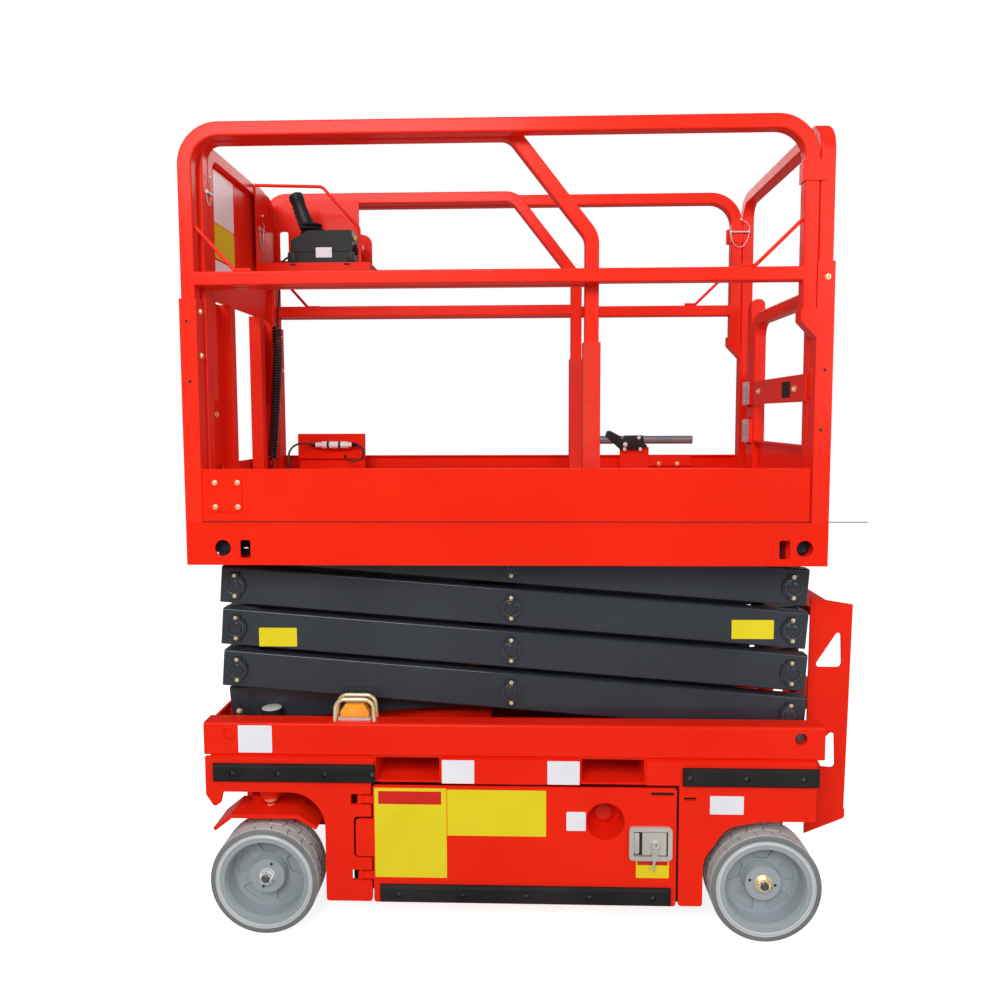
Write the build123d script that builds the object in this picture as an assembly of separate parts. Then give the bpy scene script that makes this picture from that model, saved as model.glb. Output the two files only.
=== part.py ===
"""Electric scissor lift with a slide-out deck extension, parked with its stack down.

Millimetres, +Z up. -X is the steered front, +X the rear with the ladder and gate,
+Y the far side. The origin is on the floor under the middle of the machine.
One STEP file per node goes to parts/.
"""
from build123d import *
import math
import os

os.makedirs("parts", exist_ok=True)

# ---------------------------------------------------------------- driving sizes
# Platform
PLATFORM_FRONT = -932.0
PLATFORM_REAR = 797.0
PLATFORM_WIDTH = 745.0
SKIRT_BOTTOM = 1051.0
DECK_TOP = 1168.0
TOE_TOP = 1313.0
MID_RAIL_TOP = 1842.0
TOP_RAIL_TOP = 2230.0
SHEET = 4.0                 # skirt and toe board plate
TOE_INSET = 4.0             # toe boards stand back from the skirt's face
SKIRT_SLOTS = (-770.0, 683.0)
DECK_SHEET = 4.0
TUBE = 38.0                 # square guard rail tube
TUBE_CORNER = 5.0
MID_TUBE = 37.0             # a mid rail stands just inside the faces of its legs
RAIL_BEND = 92.0            # centreline bend radius of the guard rails
RAIL_GAP = 9.0              # clearance between sliding and fixed rails

# Scissor stack
LEVELS = 4
REAR_PIN_X = 736.0
PIN_SPREAD = 1568.0         # front to rear pin, stack down
LOW_PIN_Z = 612.0
LEVEL_PITCH = 121.5
ARM_HEIGHT = 105.0
ARM_THICK = 44.0
ARM_WALL = 5.0
ARM_END = 42.0              # arm beyond its end pin
ARM_CORNER = 6.0
ARM_TOP_CORNER = 25.0       # rounded corner where the top arms turn under the deck
ARM_LOW_CORNER = (27.0, 23.0)   # lower corner cut beside the rear skirt: along the arm, across it
ARM_GAP = 6.0               # between the outer and the inner arm of a pair
OUTER_ARM_FACE = 290.0      # outer face of the outer arms from the middle plane
PIN_R = 19.0
PIN_FIT = 0.3               # radial running clearance of a pivot pin
PIN_END_GAP = 0.5           # between a pin's end and the collar over it
BOSS_R = 29.0
COLLAR_R = 30.0
COLLAR_THICK = 8.0
CROSS_TUBE_R = 25.0
LOW_ROLLER_R = 34.7         # roller of the front pins, on the slide track
TOP_ROLLER_R = 30.0
ROLLER_GAP = 0.3

# Chassis
CHASSIS_FRONT = -907.0
CHASSIS_REAR = 809.0
CHASSIS_BOTTOM = 95.0
BEAM_BOTTOM = 510.0
BEAM_TOP = 604.0
BEAM_FACE = 360.0
BEAM_WIDTH = 60.0
WEB_FACE = 362.0
PLATE = 6.0
BODY_TOP = 436.0            # top edge of the side plates and doors

# Wheels
WHEEL_R = 152.5
WHEEL_WIDTH = 100.0
WHEEL_FACE = 375.0          # outer face from the middle plane
FRONT_WHEEL_X = -742.0
REAR_WHEEL_X = 653.0
KINGPIN_Y = 300.0
RIM_R = 126.0
HUB_R = 49.0
HUB_FACE = WHEEL_FACE - 28
HUB_PLATE = 5.0
STUB_END = HUB_FACE - HUB_PLATE - 0.5
STUB_R = 16.0

# Doors
DOOR_FRONT = -433.0
DOOR_REAR = 407.0
DOOR_TOP = 432.0
DOOR_FACE = 368.0
DOOR_GAP = 5.0
HINGE_X = -470.0            # door hinge axis, inside the thickness of the front side plate
HINGE_Y = -362.0
HINGE_Z = (171.0, 390.0)    # middle heights of the two hinge arms
HINGE_PIN_R = 4.0

# Gate
GATE_SET_IN = 4.5           # middle of the gate tubes from that of the rear rail
GATE_CLEARANCE = 11.0       # between the gate's free side and the near rail
GATE_FAR_Y = 176.0
GATE_TOP = 1790.0
GATE_HINGE_OUT = 28.0        # hinge axis in front of the gate tubes
GATE_HINGE_Y = 197.5
GATE_HINGE_Z = (1363.0, 1489.0)
GATE_HINGE_LONG = 78.0
GATE_PIN_R = 3.0
GATE_POST_Y = (200.0, 240.0)
GATE_POST_TOP = 1842.0

# Lift cylinder
CYL_FOOT_X = 550.0
CYL_FOOT_Z = 520.0
CYL_LUG_RISE = 40.0
BARREL_R = 45.0
ROD_R = 28.0

# Extension
EXTENSION_POST_X = 172.0    # middle of the rear extension post
EXTENSION_SOCKET_TOP = 1652.0

# ---------------------------------------------------------------- derived places
REAR_PIN_TO_MID = PIN_SPREAD / 2
MID_X = REAR_PIN_X - REAR_PIN_TO_MID
FRONT_PIN_X = REAR_PIN_X - PIN_SPREAD
TOP_PIN_Z = LOW_PIN_Z + LEVELS * LEVEL_PITCH
HALF_WIDTH = PLATFORM_WIDTH / 2
OUTER_ARM_INNER = OUTER_ARM_FACE - ARM_THICK
INNER_ARM_FACE = OUTER_ARM_INNER - ARM_GAP
INNER_ARM_INNER = INNER_ARM_FACE - ARM_THICK
ARM_TILT = math.degrees(math.atan2(LEVEL_PITCH, PIN_SPREAD))
ARM_LENGTH = math.hypot(LEVEL_PITCH, PIN_SPREAD)
POST_SHEET = 3.0
POST_FIT = 0.5
REAR_RAIL_X = PLATFORM_REAR - POST_SHEET - POST_FIT - TUBE / 2
GATE_X = REAR_RAIL_X - GATE_SET_IN
GATE_HINGE_X = GATE_X - GATE_HINGE_OUT
RAIL_Y = HALF_WIDTH - POST_SHEET - POST_FIT - TUBE / 2
EXT_RAIL_Y = RAIL_Y - TUBE - RAIL_GAP
BEAM_INNER = BEAM_FACE - BEAM_WIDTH
SLIDE_TRACK_TOP = LOW_PIN_Z - LOW_ROLLER_R - ROLLER_GAP
GATE_NEAR_Y = -RAIL_Y + TUBE + GATE_CLEARANCE


# ---------------------------------------------------------------- helpers
def block(x, y, z):
    """Box from low and high limits along each axis."""
    size = (x[1] - x[0], y[1] - y[0], z[1] - z[0])
    return Pos((x[0] + x[1]) / 2, (y[0] + y[1]) / 2, (z[0] + z[1]) / 2) * Box(*size)


def rod_y(x, z, radius, y0, y1):
    return Pos(x, (y0 + y1) / 2, z) * Rot(90, 0, 0) * Cylinder(radius, y1 - y0)


def rod_x(y, z, radius, x0, x1):
    return Pos((x0 + x1) / 2, y, z) * Rot(0, 90, 0) * Cylinder(radius, x1 - x0)


def rod_z(x, y, radius, z0, z1):
    return Pos(x, y, (z0 + z1) / 2) * Cylinder(radius, z1 - z0)


def plate_xz(points, y0, y1):
    """Flat plate from an outline of (x, z) points, standing along X."""
    face = make_face(Polyline(*points, close=True))
    return extrude(Plane.XZ.offset(-y1) * face, amount=y1 - y0)


def rounded(shape, *corners):
    """Round the edges along Y that stand nearest to each (x, z, radius)."""
    for x, z, radius in corners:
        edges = shape.edges().filter_by(Axis.Y)
        nearest = min(edges, key=lambda edge: math.hypot(edge.center().X - x, edge.center().Z - z))
        shape = fillet(nearest, radius)
    return shape


def rounded_block(x, y, z, radius):
    """Box whose four edges along Y are rounded."""
    shape = block(x, y, z)
    return fillet(shape.edges().filter_by(Axis.Y), radius)


def far(shape):
    """Mirror image on the far side."""
    return mirror(shape, about=Plane.XZ)


def both(shape):
    return [shape, far(shape)]


def bent_tube(points, bend, across, size=TUBE, corner=TUBE_CORNER):
    """Square tube along a bent centreline; across is a direction square to all of it."""
    path = FilletPolyline(*points, radius=bend)
    section = Plane(origin=path @ 0, x_dir=across, z_dir=path % 0) * RectangleRounded(size, size, corner)
    return sweep(section, path=path)


def straight_tube(start, end, across, size=TUBE, corner=TUBE_CORNER):
    path = Line(start, end)
    section = Plane(origin=path @ 0, x_dir=across, z_dir=path % 0) * RectangleRounded(size, size, corner)
    return sweep(section, path=path)


def round_bar(points, radius, bend):
    path = FilletPolyline(*points, radius=bend)
    section = Plane(origin=path @ 0, z_dir=path % 0) * Circle(radius)
    return sweep(section, path=path)


def save(name, *shapes):
    solids = []
    for shape in shapes:
        solids.extend(shape.solids())
    body = Compound(children=solids) if len(solids) > 1 else solids[0]
    body.label = name
    export_step(body, f"parts/{name}.step")


# ---------------------------------------------------------------- chassis frame
def side_beam():
    beam = block((CHASSIS_FRONT, CHASSIS_REAR), (-BEAM_FACE, -BEAM_INNER), (BEAM_BOTTOM, BEAM_TOP))
    return fillet(beam.edges().filter_by(Axis.X), 8)


FORK_POCKETS = ((-424, -248), (147, 319))     # x from, x to
FORK_BOTTOM = 442.0
FORK_TOP = 508.0
FORK_WALL = 5.0
SPINE_HALF = 62.0                              # inside of the two long webs either side of the cylinder
SPINE_BOTTOM = 150.0
TRACK_Y = (150.0, 190.0)                       # slide track for the front pins


def fork_tube(x0, x1):
    outer = block((x0 - FORK_WALL, x1 + FORK_WALL), (-WEB_FACE + PLATE, WEB_FACE - PLATE),
                  (FORK_BOTTOM - FORK_WALL, FORK_TOP + FORK_WALL))
    return outer


def chassis_frame():
    parts = both(side_beam())
    # deep webs under the beams, behind the bumpers
    for x0, x1 in ((CHASSIS_FRONT + 16, FORK_POCKETS[0][0] - FORK_WALL),
                   (FORK_POCKETS[1][1] + FORK_WALL, 786)):
        parts += both(block((x0, x1), (-WEB_FACE + PLATE, -BEAM_INNER), (BODY_TOP, BEAM_BOTTOM)))
    parts += both(block((FORK_POCKETS[0][1] + FORK_WALL, FORK_POCKETS[1][0] - FORK_WALL),
                        (-WEB_FACE + PLATE, -BEAM_INNER), (BODY_TOP, BEAM_BOTTOM)))
    # cross members and the long spine webs
    parts.append(block((CHASSIS_FRONT, CHASSIS_FRONT + 8), (-BEAM_INNER, BEAM_INNER),
                       (BODY_TOP, BEAM_TOP - 12)))
    parts.append(block((CHASSIS_REAR - 8, CHASSIS_REAR), (-BEAM_INNER, BEAM_INNER),
                       (BODY_TOP, BEAM_BOTTOM + 10)))
    for x0, x1 in FORK_POCKETS:
        parts.append(fork_tube(x0, x1))
    parts += both(block((CHASSIS_FRONT + 8, CHASSIS_REAR - 8), (-SPINE_HALF - PLATE, -SPINE_HALF),
                        (SPINE_BOTTOM, BEAM_BOTTOM)))
    # slide tracks for the front pins
    parts += both(block((CHASSIS_FRONT + 8, -110), (-TRACK_Y[1], -TRACK_Y[0]),
                        (BEAM_BOTTOM - 6, SLIDE_TRACK_TOP)))
    parts.append(block((CHASSIS_FRONT + 8, FORK_POCKETS[0][0]), (-BEAM_INNER, BEAM_INNER),
                       (BEAM_BOTTOM - 6, BEAM_BOTTOM)))
    parts.append(block((FORK_POCKETS[0][1], FORK_POCKETS[1][0]), (-BEAM_INNER, -SPINE_HALF),
                       (BEAM_BOTTOM - 6, BEAM_BOTTOM)))
    parts.append(block((FORK_POCKETS[0][1], FORK_POCKETS[1][0]), (SPINE_HALF, BEAM_INNER),
                       (BEAM_BOTTOM - 6, BEAM_BOTTOM)))
    parts += both(block((FORK_POCKETS[1][1], CHASSIS_REAR - 8), (-BEAM_INNER, -SPINE_HALF),
                        (BEAM_BOTTOM - 6, BEAM_BOTTOM)))
    # belly plate between the axles
    parts.append(block((-520, 440), (-110, 110), (SPINE_BOTTOM - 6, SPINE_BOTTOM)))
    # rear pivot lugs
    lug = plate_xz(((REAR_PIN_X - 45, BEAM_BOTTOM), (REAR_PIN_X + 40, BEAM_BOTTOM),
                    (REAR_PIN_X + 40, LOW_PIN_Z + 15),
                    (REAR_PIN_X + 15, LOW_PIN_Z + 38), (REAR_PIN_X - 15, LOW_PIN_Z + 38),
                    (REAR_PIN_X - 45, LOW_PIN_Z)), -OUTER_ARM_INNER + 6, -OUTER_ARM_INNER + 22)
    pin = rod_y(REAR_PIN_X, LOW_PIN_Z, PIN_R, -OUTER_ARM_FACE + PIN_END_GAP, -OUTER_ARM_INNER + 22)
    parts += both(lug + pin)
    # cylinder foot lugs between the spine webs
    for side in (-1, 1):
        y0, y1 = sorted((side * 46, side * SPINE_HALF))
        foot = plate_xz(((CYL_FOOT_X - 50, BEAM_BOTTOM - 60), (CYL_FOOT_X + 50, BEAM_BOTTOM - 60),
                         (CYL_FOOT_X + 30, CYL_FOOT_Z + 30), (CYL_FOOT_X - 30, CYL_FOOT_Z + 30)), y0, y1)
        parts.append(foot)
    parts.append(rod_y(CYL_FOOT_X, CYL_FOOT_Z, PIN_R, -SPINE_HALF, SPINE_HALF))
    frame = parts[0]
    for piece in parts[1:]:
        frame = frame + piece
    for x0, x1 in FORK_POCKETS:
        frame = frame - block((x0, x1), (-BEAM_FACE - 9, BEAM_FACE + 9), (FORK_BOTTOM, FORK_TOP))
    # the two axles are pieces of their own
    frame = frame - block((FRONT_WHEEL_X - 60, FRONT_WHEEL_X + 60), (-110, 110), (300, BODY_TOP))
    frame = frame - block((FRONT_WHEEL_X + 45, FRONT_WHEEL_X + 130), (-110, 110), (330, 395))
    frame = frame - block((REAR_WHEEL_X - 55, REAR_WHEEL_X + 55), (-240, 240), (WHEEL_R - 45, BODY_TOP))
    for x in (FRONT_PIN_X - 2, REAR_PIN_X + 8):
        frame = frame - rod_y(x, 571, 17, -BEAM_FACE - 1, -BEAM_INNER + 1)
        frame = frame - rod_y(x, 571, 17, BEAM_INNER - 1, BEAM_FACE + 1)
    return frame


save("chassis_frame", chassis_frame())

# ---------------------------------------------------------------- side plates
ARCH_FRONT_X = -568.0                          # straight rear edge of the front wheel arch
ARCH_REAR_X = 481.0                            # straight front edge of the rear wheel arch
ARCH_FRONT_TOP = 408.0
PLATE_TOP = BEAM_BOTTOM - 2
PLATE_Y = (-WEB_FACE - 4, -WEB_FACE + PLATE)
HINGE_SLOT_HALF = 15.5
HINGE_ARM_HALF = 10.0
TONGUE_Z = (228.0, 335.0)                      # tab of the door that stands in a notch of the side plate
TONGUE_X = -482.0
NOTCH_GAP = 6.0


def front_side_plate():
    edge = DOOR_FRONT - DOOR_GAP
    step = FORK_POCKETS[0][0] - FORK_WALL
    outline = ((-903, PLATE_TOP), (-903, 400), (-880, 364), (-862, 376), (-855, ARCH_FRONT_TOP),
               (ARCH_FRONT_X, ARCH_FRONT_TOP), (ARCH_FRONT_X, CHASSIS_BOTTOM), (edge, CHASSIS_BOTTOM),
               (edge, BODY_TOP + 4), (step, BODY_TOP + 4), (step, PLATE_TOP))
    plate = rounded(plate_xz(outline, *PLATE_Y), (ARCH_FRONT_X, ARCH_FRONT_TOP, 100),
                    (ARCH_FRONT_X, CHASSIS_BOTTOM, 8), (edge, CHASSIS_BOTTOM, 8), (-880, 364, 8),
                    (-903, 400, 15))
    cutter_y = (PLATE_Y[0] - 1, PLATE_Y[1] + 1)
    for z in HINGE_Z:
        plate = plate - block((HINGE_X - 25, edge + 1), cutter_y, (z - HINGE_SLOT_HALF, z + HINGE_SLOT_HALF))
        plate = plate + rod_z(HINGE_X, HINGE_Y, HINGE_PIN_R, z - HINGE_SLOT_HALF - 5, z + HINGE_SLOT_HALF + 5)
    notch = rounded_block((TONGUE_X - NOTCH_GAP, edge + 20), cutter_y,
                          (TONGUE_Z[0] - NOTCH_GAP, TONGUE_Z[1] + NOTCH_GAP), 12)
    return plate - notch


def rear_side_plate():
    edge = DOOR_REAR + DOOR_GAP + 2
    step = FORK_POCKETS[1][1] + FORK_WALL
    outline = ((step, PLATE_TOP), (786, PLATE_TOP), (786, 341), (640, 340), (545, 322), (ARCH_REAR_X, 228),
               (ARCH_REAR_X, CHASSIS_BOTTOM), (edge, CHASSIS_BOTTOM), (edge, BODY_TOP + 4),
               (step, BODY_TOP + 4))
    plate = rounded(plate_xz(outline, *PLATE_Y), (ARCH_REAR_X, 228, 78), (545, 322, 78), (640, 340, 78),
                    (ARCH_REAR_X, CHASSIS_BOTTOM, 8), (edge, CHASSIS_BOTTOM, 8))
    return plate - rounded_block((427, 462), (PLATE_Y[0] - 1, PLATE_Y[1] + 1), (397, 407), 4.9)


# web between the fork pockets, in the plane of the side plates
middle_plate = block((FORK_POCKETS[0][1] + FORK_WALL, FORK_POCKETS[1][0] - FORK_WALL), PLATE_Y,
                     (BODY_TOP + 2, PLATE_TOP))
save("side_plates", *both(front_side_plate()), *both(rear_side_plate()), *both(middle_plate))

# bumper strips: x from, x to
BUMPERS = ((-879, -425), (423, 792))
BUMPER_Z = (441.0, 491.0)
BUMPER_THICK = 13.7
DOOR_BUMPER_THICK = 11.7
BUMPER_SCREWS = ((-822.7, -694.1, -563.5, -433.5), (439.5, 593.2, 747.9))
DOOR_SCREWS = (-362.5, -183.6, -7.4, 168.6, 342.0)
SCREW_SINK_R = 8.5          # counterbore in a strip that hides a screw head
SCREW_SINK = 6.0


def bumper(x0, x1, z0, z1, inner, thick, screws):
    outer = inner + thick
    bar = block((x0, x1), (-outer, -inner), (z0, z1))
    bar = chamfer(bar.faces().sort_by(Axis.Y)[0].edges(), 7)
    for x in screws:
        bar = bar - rod_y(x, (z0 + z1) / 2, SCREW_SINK_R, -outer - 1, -outer + SCREW_SINK)
    return bar


save("bumper_strips", *[piece for (x0, x1), screws in zip(BUMPERS, BUMPER_SCREWS)
                        for piece in both(bumper(x0, x1, *BUMPER_Z, -PLATE_Y[0] + 0.3, BUMPER_THICK, screws))])

# ---------------------------------------------------------------- axles
KING_BOSS_R = 29.0
KING_BOSS_Z = (367.0, 410.0)
KINGPIN_R = 18.0
KINGPIN_SHOULDER_Z = 353.0  # below this the kingpin is a thin stem
KINGPIN_STEM_R = 8.5
KNUCKLE_PLATE_Z = 328.0
STEER_ROD_Z = 361.0


def front_axle():
    # cross box under the chassis deck that carries both kingpins
    box_ = block((FRONT_WHEEL_X - 60, FRONT_WHEEL_X + 60), (-BEAM_INNER - 20, BEAM_INNER + 20),
                 (410, BODY_TOP))
    bosses = both(rod_z(FRONT_WHEEL_X, -KINGPIN_Y, KING_BOSS_R, KING_BOSS_Z[0], 412))
    holes = both(rod_z(FRONT_WHEEL_X, -KINGPIN_Y, KINGPIN_R + PIN_FIT, KING_BOSS_Z[0] - 1, BODY_TOP + 1))
    down = block((FRONT_WHEEL_X - 50, FRONT_WHEEL_X + 50), (-110, 110), (300, 412))
    barrel = rod_y(FRONT_WHEEL_X + 95, STEER_ROD_Z, 27, -95, 95)
    hanger = block((FRONT_WHEEL_X + 45, FRONT_WHEEL_X + 100), (-60, 60), (340, 380))
    axle = box_ + bosses[0] + bosses[1] + down + hanger + barrel
    axle = axle - holes[0] - holes[1]
    axle = axle - rod_y(FRONT_WHEEL_X + 95, STEER_ROD_Z, 12 + PIN_FIT, -96, 96)
    return axle


def rear_axle():
    box_ = block((REAR_WHEEL_X - 55, REAR_WHEEL_X + 55), (-235, 235), (WHEEL_R - 45, WHEEL_R + 60))
    stand = block((REAR_WHEEL_X - 55, REAR_WHEEL_X + 55), (-150, 150), (WHEEL_R + 55, BODY_TOP))
    stubs = both(rod_y(REAR_WHEEL_X, WHEEL_R, STUB_R, -STUB_END, -230))
    axle = box_ + stand + stubs[0] + stubs[1]
    return axle


save("front_axle", front_axle())
save("rear_axle", rear_axle())


# ---------------------------------------------------------------- wheels
def tyre(x, side):
    y0, y1 = WHEEL_FACE - WHEEL_WIDTH, WHEEL_FACE
    ring = rod_y(x, WHEEL_R, WHEEL_R, y0, y1)
    ring = fillet(ring.edges().filter_by(GeomType.CIRCLE), 9)
    ring = ring - rod_y(x, WHEEL_R, RIM_R + 0.3, y0 - 1, y1 + 1)
    return ring if side > 0 else far(ring)


POCKETS = 5


def rim(x, side):
    y0, y1 = WHEEL_FACE - WHEEL_WIDTH, WHEEL_FACE
    # dished rim turned about the axle: radius, distance from the middle plane
    profile = ((STUB_R + 1, y0 + 16), (60, y0 + 16), (66, y0 + 4), (RIM_R, y0 + 4), (RIM_R, y1 - 2),
               (RIM_R - 13, y1 - 2),
               (RIM_R - 18, y1 - 12), (RIM_R - 20, y0 + 46), (HUB_R + 5, y0 + 46), (HUB_R, HUB_FACE),
               (0, HUB_FACE),
               (0, HUB_FACE - HUB_PLATE), (STUB_R + 1, HUB_FACE - HUB_PLATE))
    face = make_face(Polyline(*[(r, y) for r, y in profile], close=True))
    # sketch plane: local x = radius, local y = world Y
    plane = Plane(origin=(x, 0, WHEEL_R), x_dir=(1, 0, 0), z_dir=(0, 0, 1))
    shape = revolve(plane * face, axis=Axis((x, 0, WHEEL_R), (0, 1, 0)))
    corners = [(r * math.cos(math.radians(a)), r * math.sin(math.radians(a)))
               for r, a in ((60, -19), (101, -25), (101, 25), (60, 19))]
    pocket = fillet(make_face(Polyline(*corners, close=True)).vertices(), 9)
    for k in range(POCKETS):
        turned = Plane.XZ.offset(-y0 - 22) * (Rot(0, 0, 90 + 360 / POCKETS * k) * pocket)
        shape = shape - Pos(x, 0, WHEEL_R) * extrude(turned, amount=-40)
    return shape if side > 0 else far(shape)


for place, x in (("front", FRONT_WHEEL_X), ("rear", REAR_WHEEL_X)):
    for side_name, side in (("near", -1), ("far", 1)):
        save(f"tyre_{place}_{side_name}", tyre(x, side))
        save(f"rim_{place}_{side_name}", rim(x, side))


# ---------------------------------------------------------------- steering
def knuckle():
    """Near knuckle: bent cover plate over the tyre, kingpin, inner plate and stub."""
    x = FRONT_WHEEL_X
    z = KNUCKLE_PLATE_Z
    cover = plate_xz(((x - 140, 291), (x - 92, z), (x + 92, z), (x + 145, 297), (x + 151, 305),
                      (x + 95, z + 12),
                      (x - 95, z + 12), (x - 146, 299)), -360, -255)
    inner = block((x - 45, x + 45), (-270, -256), (WHEEL_R - 55, z + 2))
    kingpin = rod_z(x, -KINGPIN_Y, KINGPIN_R, KINGPIN_SHOULDER_Z, 430)
    kingpin = kingpin + rod_z(x, -KINGPIN_Y, KINGPIN_STEM_R, z + 10, KINGPIN_SHOULDER_Z + 1)
    stop_boss = rod_z(x - 39, -270, 26, z + 10, KING_BOSS_Z[0] - 6)
    motor = rod_y(x, WHEEL_R, 48, -258, -190)
    stub = rod_y(x, WHEEL_R, STUB_R, -STUB_END, -256)
    arm = block((x + 20, x + 112), (-262, -232), (z - 12, z + 12))
    return cover + inner + kingpin + stop_boss + motor + stub + arm


save("knuckle_near", knuckle())
save("knuckle_far", far(knuckle()))
save("steer_rod", rod_y(FRONT_WHEEL_X + 95, STEER_ROD_Z, 12, -225, 225))

# ---------------------------------------------------------------- ladder
LADDER_X = (812.0, 932.0)
LADDER_Y = 222.0
LADDER_PLATE = 5.0


def ladder():
    seat = CHASSIS_REAR + 0.3
    outline = ((LADDER_X[0], 931), (LADDER_X[1], 911), (921, 276), (seat, 229), (seat, 600))
    side = plate_xz(outline, -LADDER_Y, -LADDER_Y + LADDER_PLATE)
    cutter_y = (-LADDER_Y - 1, -LADDER_Y + LADDER_PLATE + 1)
    window = plate_xz(((899, 846), (904, 727), (824, 727)), *cutter_y)
    side = side - rounded(window, (899, 846, 8), (904, 727, 12), (824, 727, 10))
    window = plate_xz(((888, 546), (893, 427), (853, 431), (842, 453), (865, 521)), *cutter_y)
    side = side - rounded(window, (888, 546, 9), (893, 427, 12), (853, 431, 8))
    shape = side + far(side)
    for z in (290, 580, 870):
        shape = shape + block((840, 925), (-LADDER_Y + 1, LADDER_Y - 1), (z - 12, z + 12))
    for z0, z1 in ((455, 505), ):
        shape = shape + block((seat, 830), (-LADDER_Y, LADDER_Y), (z0, z1))
    return shape


save("ladder", ladder())

# ---------------------------------------------------------------- beacon, pads
BEACON_X = -498.0
BEACON_Y = -328.0


def beacon_guard():
    hoops = None
    for dy in (-24, 24):
        hoop = round_bar(((BEACON_X - 58, BEACON_Y + dy, BEAM_TOP),
                          (BEACON_X - 58, BEACON_Y + dy, BEAM_TOP + 62),
                          (BEACON_X + 58, BEACON_Y + dy, BEAM_TOP + 62),
                          (BEACON_X + 58, BEACON_Y + dy, BEAM_TOP)), 4, 20)
        hoops = hoop if hoops is None else hoops + hoop
    return hoops


save("beacon_guard", beacon_guard())
save("beacon_lamp", block((BEACON_X - 34, BEACON_X + 34), (BEACON_Y - 17, BEACON_Y + 17),
                          (BEAM_TOP + 0.3, BEAM_TOP + 48)))
PAD_X = -744.0
save("rest_pads", *[rod_z(x, y, 28, BEAM_BOTTOM + 0.3, BEAM_TOP + 8)
                    for x in (PAD_X,) for y in (-268, 268)])


# ---------------------------------------------------------------- doors
TRAY_DEPTH = 235.0
TRAY_FRONT = DOOR_FRONT + 30
TRAY_REAR = 262.0


CUP = (212.0, 336.0)        # recess of the stop button: x, z
CUP_R = 53.0
CUP_DEPTH = 78.0
CUP_WALL = 2.5
LATCH_X = (277.0, 395.0)
LATCH_Z = (230.0, 325.0)
LATCH_RIM = 12.0
LATCH_DEPTH = 28.0
LATCH_FIT = 1.5             # between the latch pocket and its hole in the door


def door():
    inner = -DOOR_FACE + PLATE
    panel = rounded_block((DOOR_FRONT, DOOR_REAR), (-DOOR_FACE, inner), (CHASSIS_BOTTOM, DOOR_TOP), 8)
    panel = panel + rounded_block((TONGUE_X, DOOR_FRONT + 20), (-DOOR_FACE, inner), TONGUE_Z, 9.9)
    shelf = block((TRAY_FRONT, TRAY_REAR), (inner - 1, -DOOR_FACE + TRAY_DEPTH), (110, 114))
    lip = block((TRAY_FRONT, TRAY_REAR), (-DOOR_FACE + TRAY_DEPTH - 4, -DOOR_FACE + TRAY_DEPTH), (110, 150))
    ends = [block((x, x + 4), (inner - 1, -DOOR_FACE + TRAY_DEPTH), (110, 220))
            for x in (TRAY_FRONT, TRAY_REAR - 4)]
    panel = panel + shelf + lip + ends[0] + ends[1]
    for z in HINGE_Z:
        z0, z1 = z - HINGE_ARM_HALF, z + HINGE_ARM_HALF
        panel = panel + block((HINGE_X, DOOR_FRONT + 8), (HINGE_Y - 4, HINGE_Y + 4), (z0, z1))
        panel = panel + rod_z(HINGE_X, HINGE_Y, 8, z0, z1)
        panel = panel - rod_z(HINGE_X, HINGE_Y, HINGE_PIN_R + PIN_FIT, z0 - 1, z1 + 1)
    panel = panel - rounded_block((336, 401), (-DOOR_FACE - 1, inner + 1), (411, 421), 4.9)
    window = (-DOOR_FACE - 1, inner + 1)
    pocket = LATCH_RIM - CUP_WALL - LATCH_FIT
    return panel - block((LATCH_X[0] + pocket, LATCH_X[1] - pocket), window,
                         (LATCH_Z[0] + pocket, LATCH_Z[1] - pocket))


def stop_cup():
    """Round recess behind the near door's face."""
    face = -DOOR_FACE + CUP_DEPTH
    shell = rod_y(*CUP, CUP_R + CUP_WALL, -DOOR_FACE + 1, face + CUP_WALL)
    return shell, rod_y(*CUP, CUP_R, -DOOR_FACE - 1, face)


def near_door():
    shell, hollow = stop_cup()
    return door() + shell - hollow


def door_bumper():
    return bumper(DOOR_FRONT + 18, DOOR_REAR - 14, 99, 149,
                  DOOR_FACE + 0.3, DOOR_BUMPER_THICK, DOOR_SCREWS)


def door_latch():
    """Flush paddle latch: rim on the face, pocket behind it, paddle and lock barrel."""
    face = (-DOOR_FACE - 9, -DOOR_FACE - 0.3)
    rim_ = rounded_block(LATCH_X, face, LATCH_Z, LATCH_RIM)
    hole_x = (LATCH_X[0] + LATCH_RIM, LATCH_X[1] - LATCH_RIM)
    hole_z = (LATCH_Z[0] + LATCH_RIM, LATCH_Z[1] - LATCH_RIM)
    shell = block((hole_x[0] - CUP_WALL, hole_x[1] + CUP_WALL), (face[1] - 1, face[1] + LATCH_DEPTH),
                  (hole_z[0] - CUP_WALL, hole_z[1] + CUP_WALL))
    hollow = block(hole_x, (face[0] - 1, face[1] + LATCH_DEPTH - CUP_WALL), hole_z)
    paddle = block((hole_x[0] + 24, hole_x[1] - 4), (-DOOR_FACE - 6, -DOOR_FACE - 2),
                   (hole_z[0] + 3, hole_z[1] - 3))
    middle = (LATCH_X[0] + 73, (LATCH_Z[0] + LATCH_Z[1]) / 2 - 2)
    barrel_ = rod_y(*middle, 11, -DOOR_FACE - 8.5, face[1] + LATCH_DEPTH - 1)
    return rim_ + shell - hollow + paddle + barrel_


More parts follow.
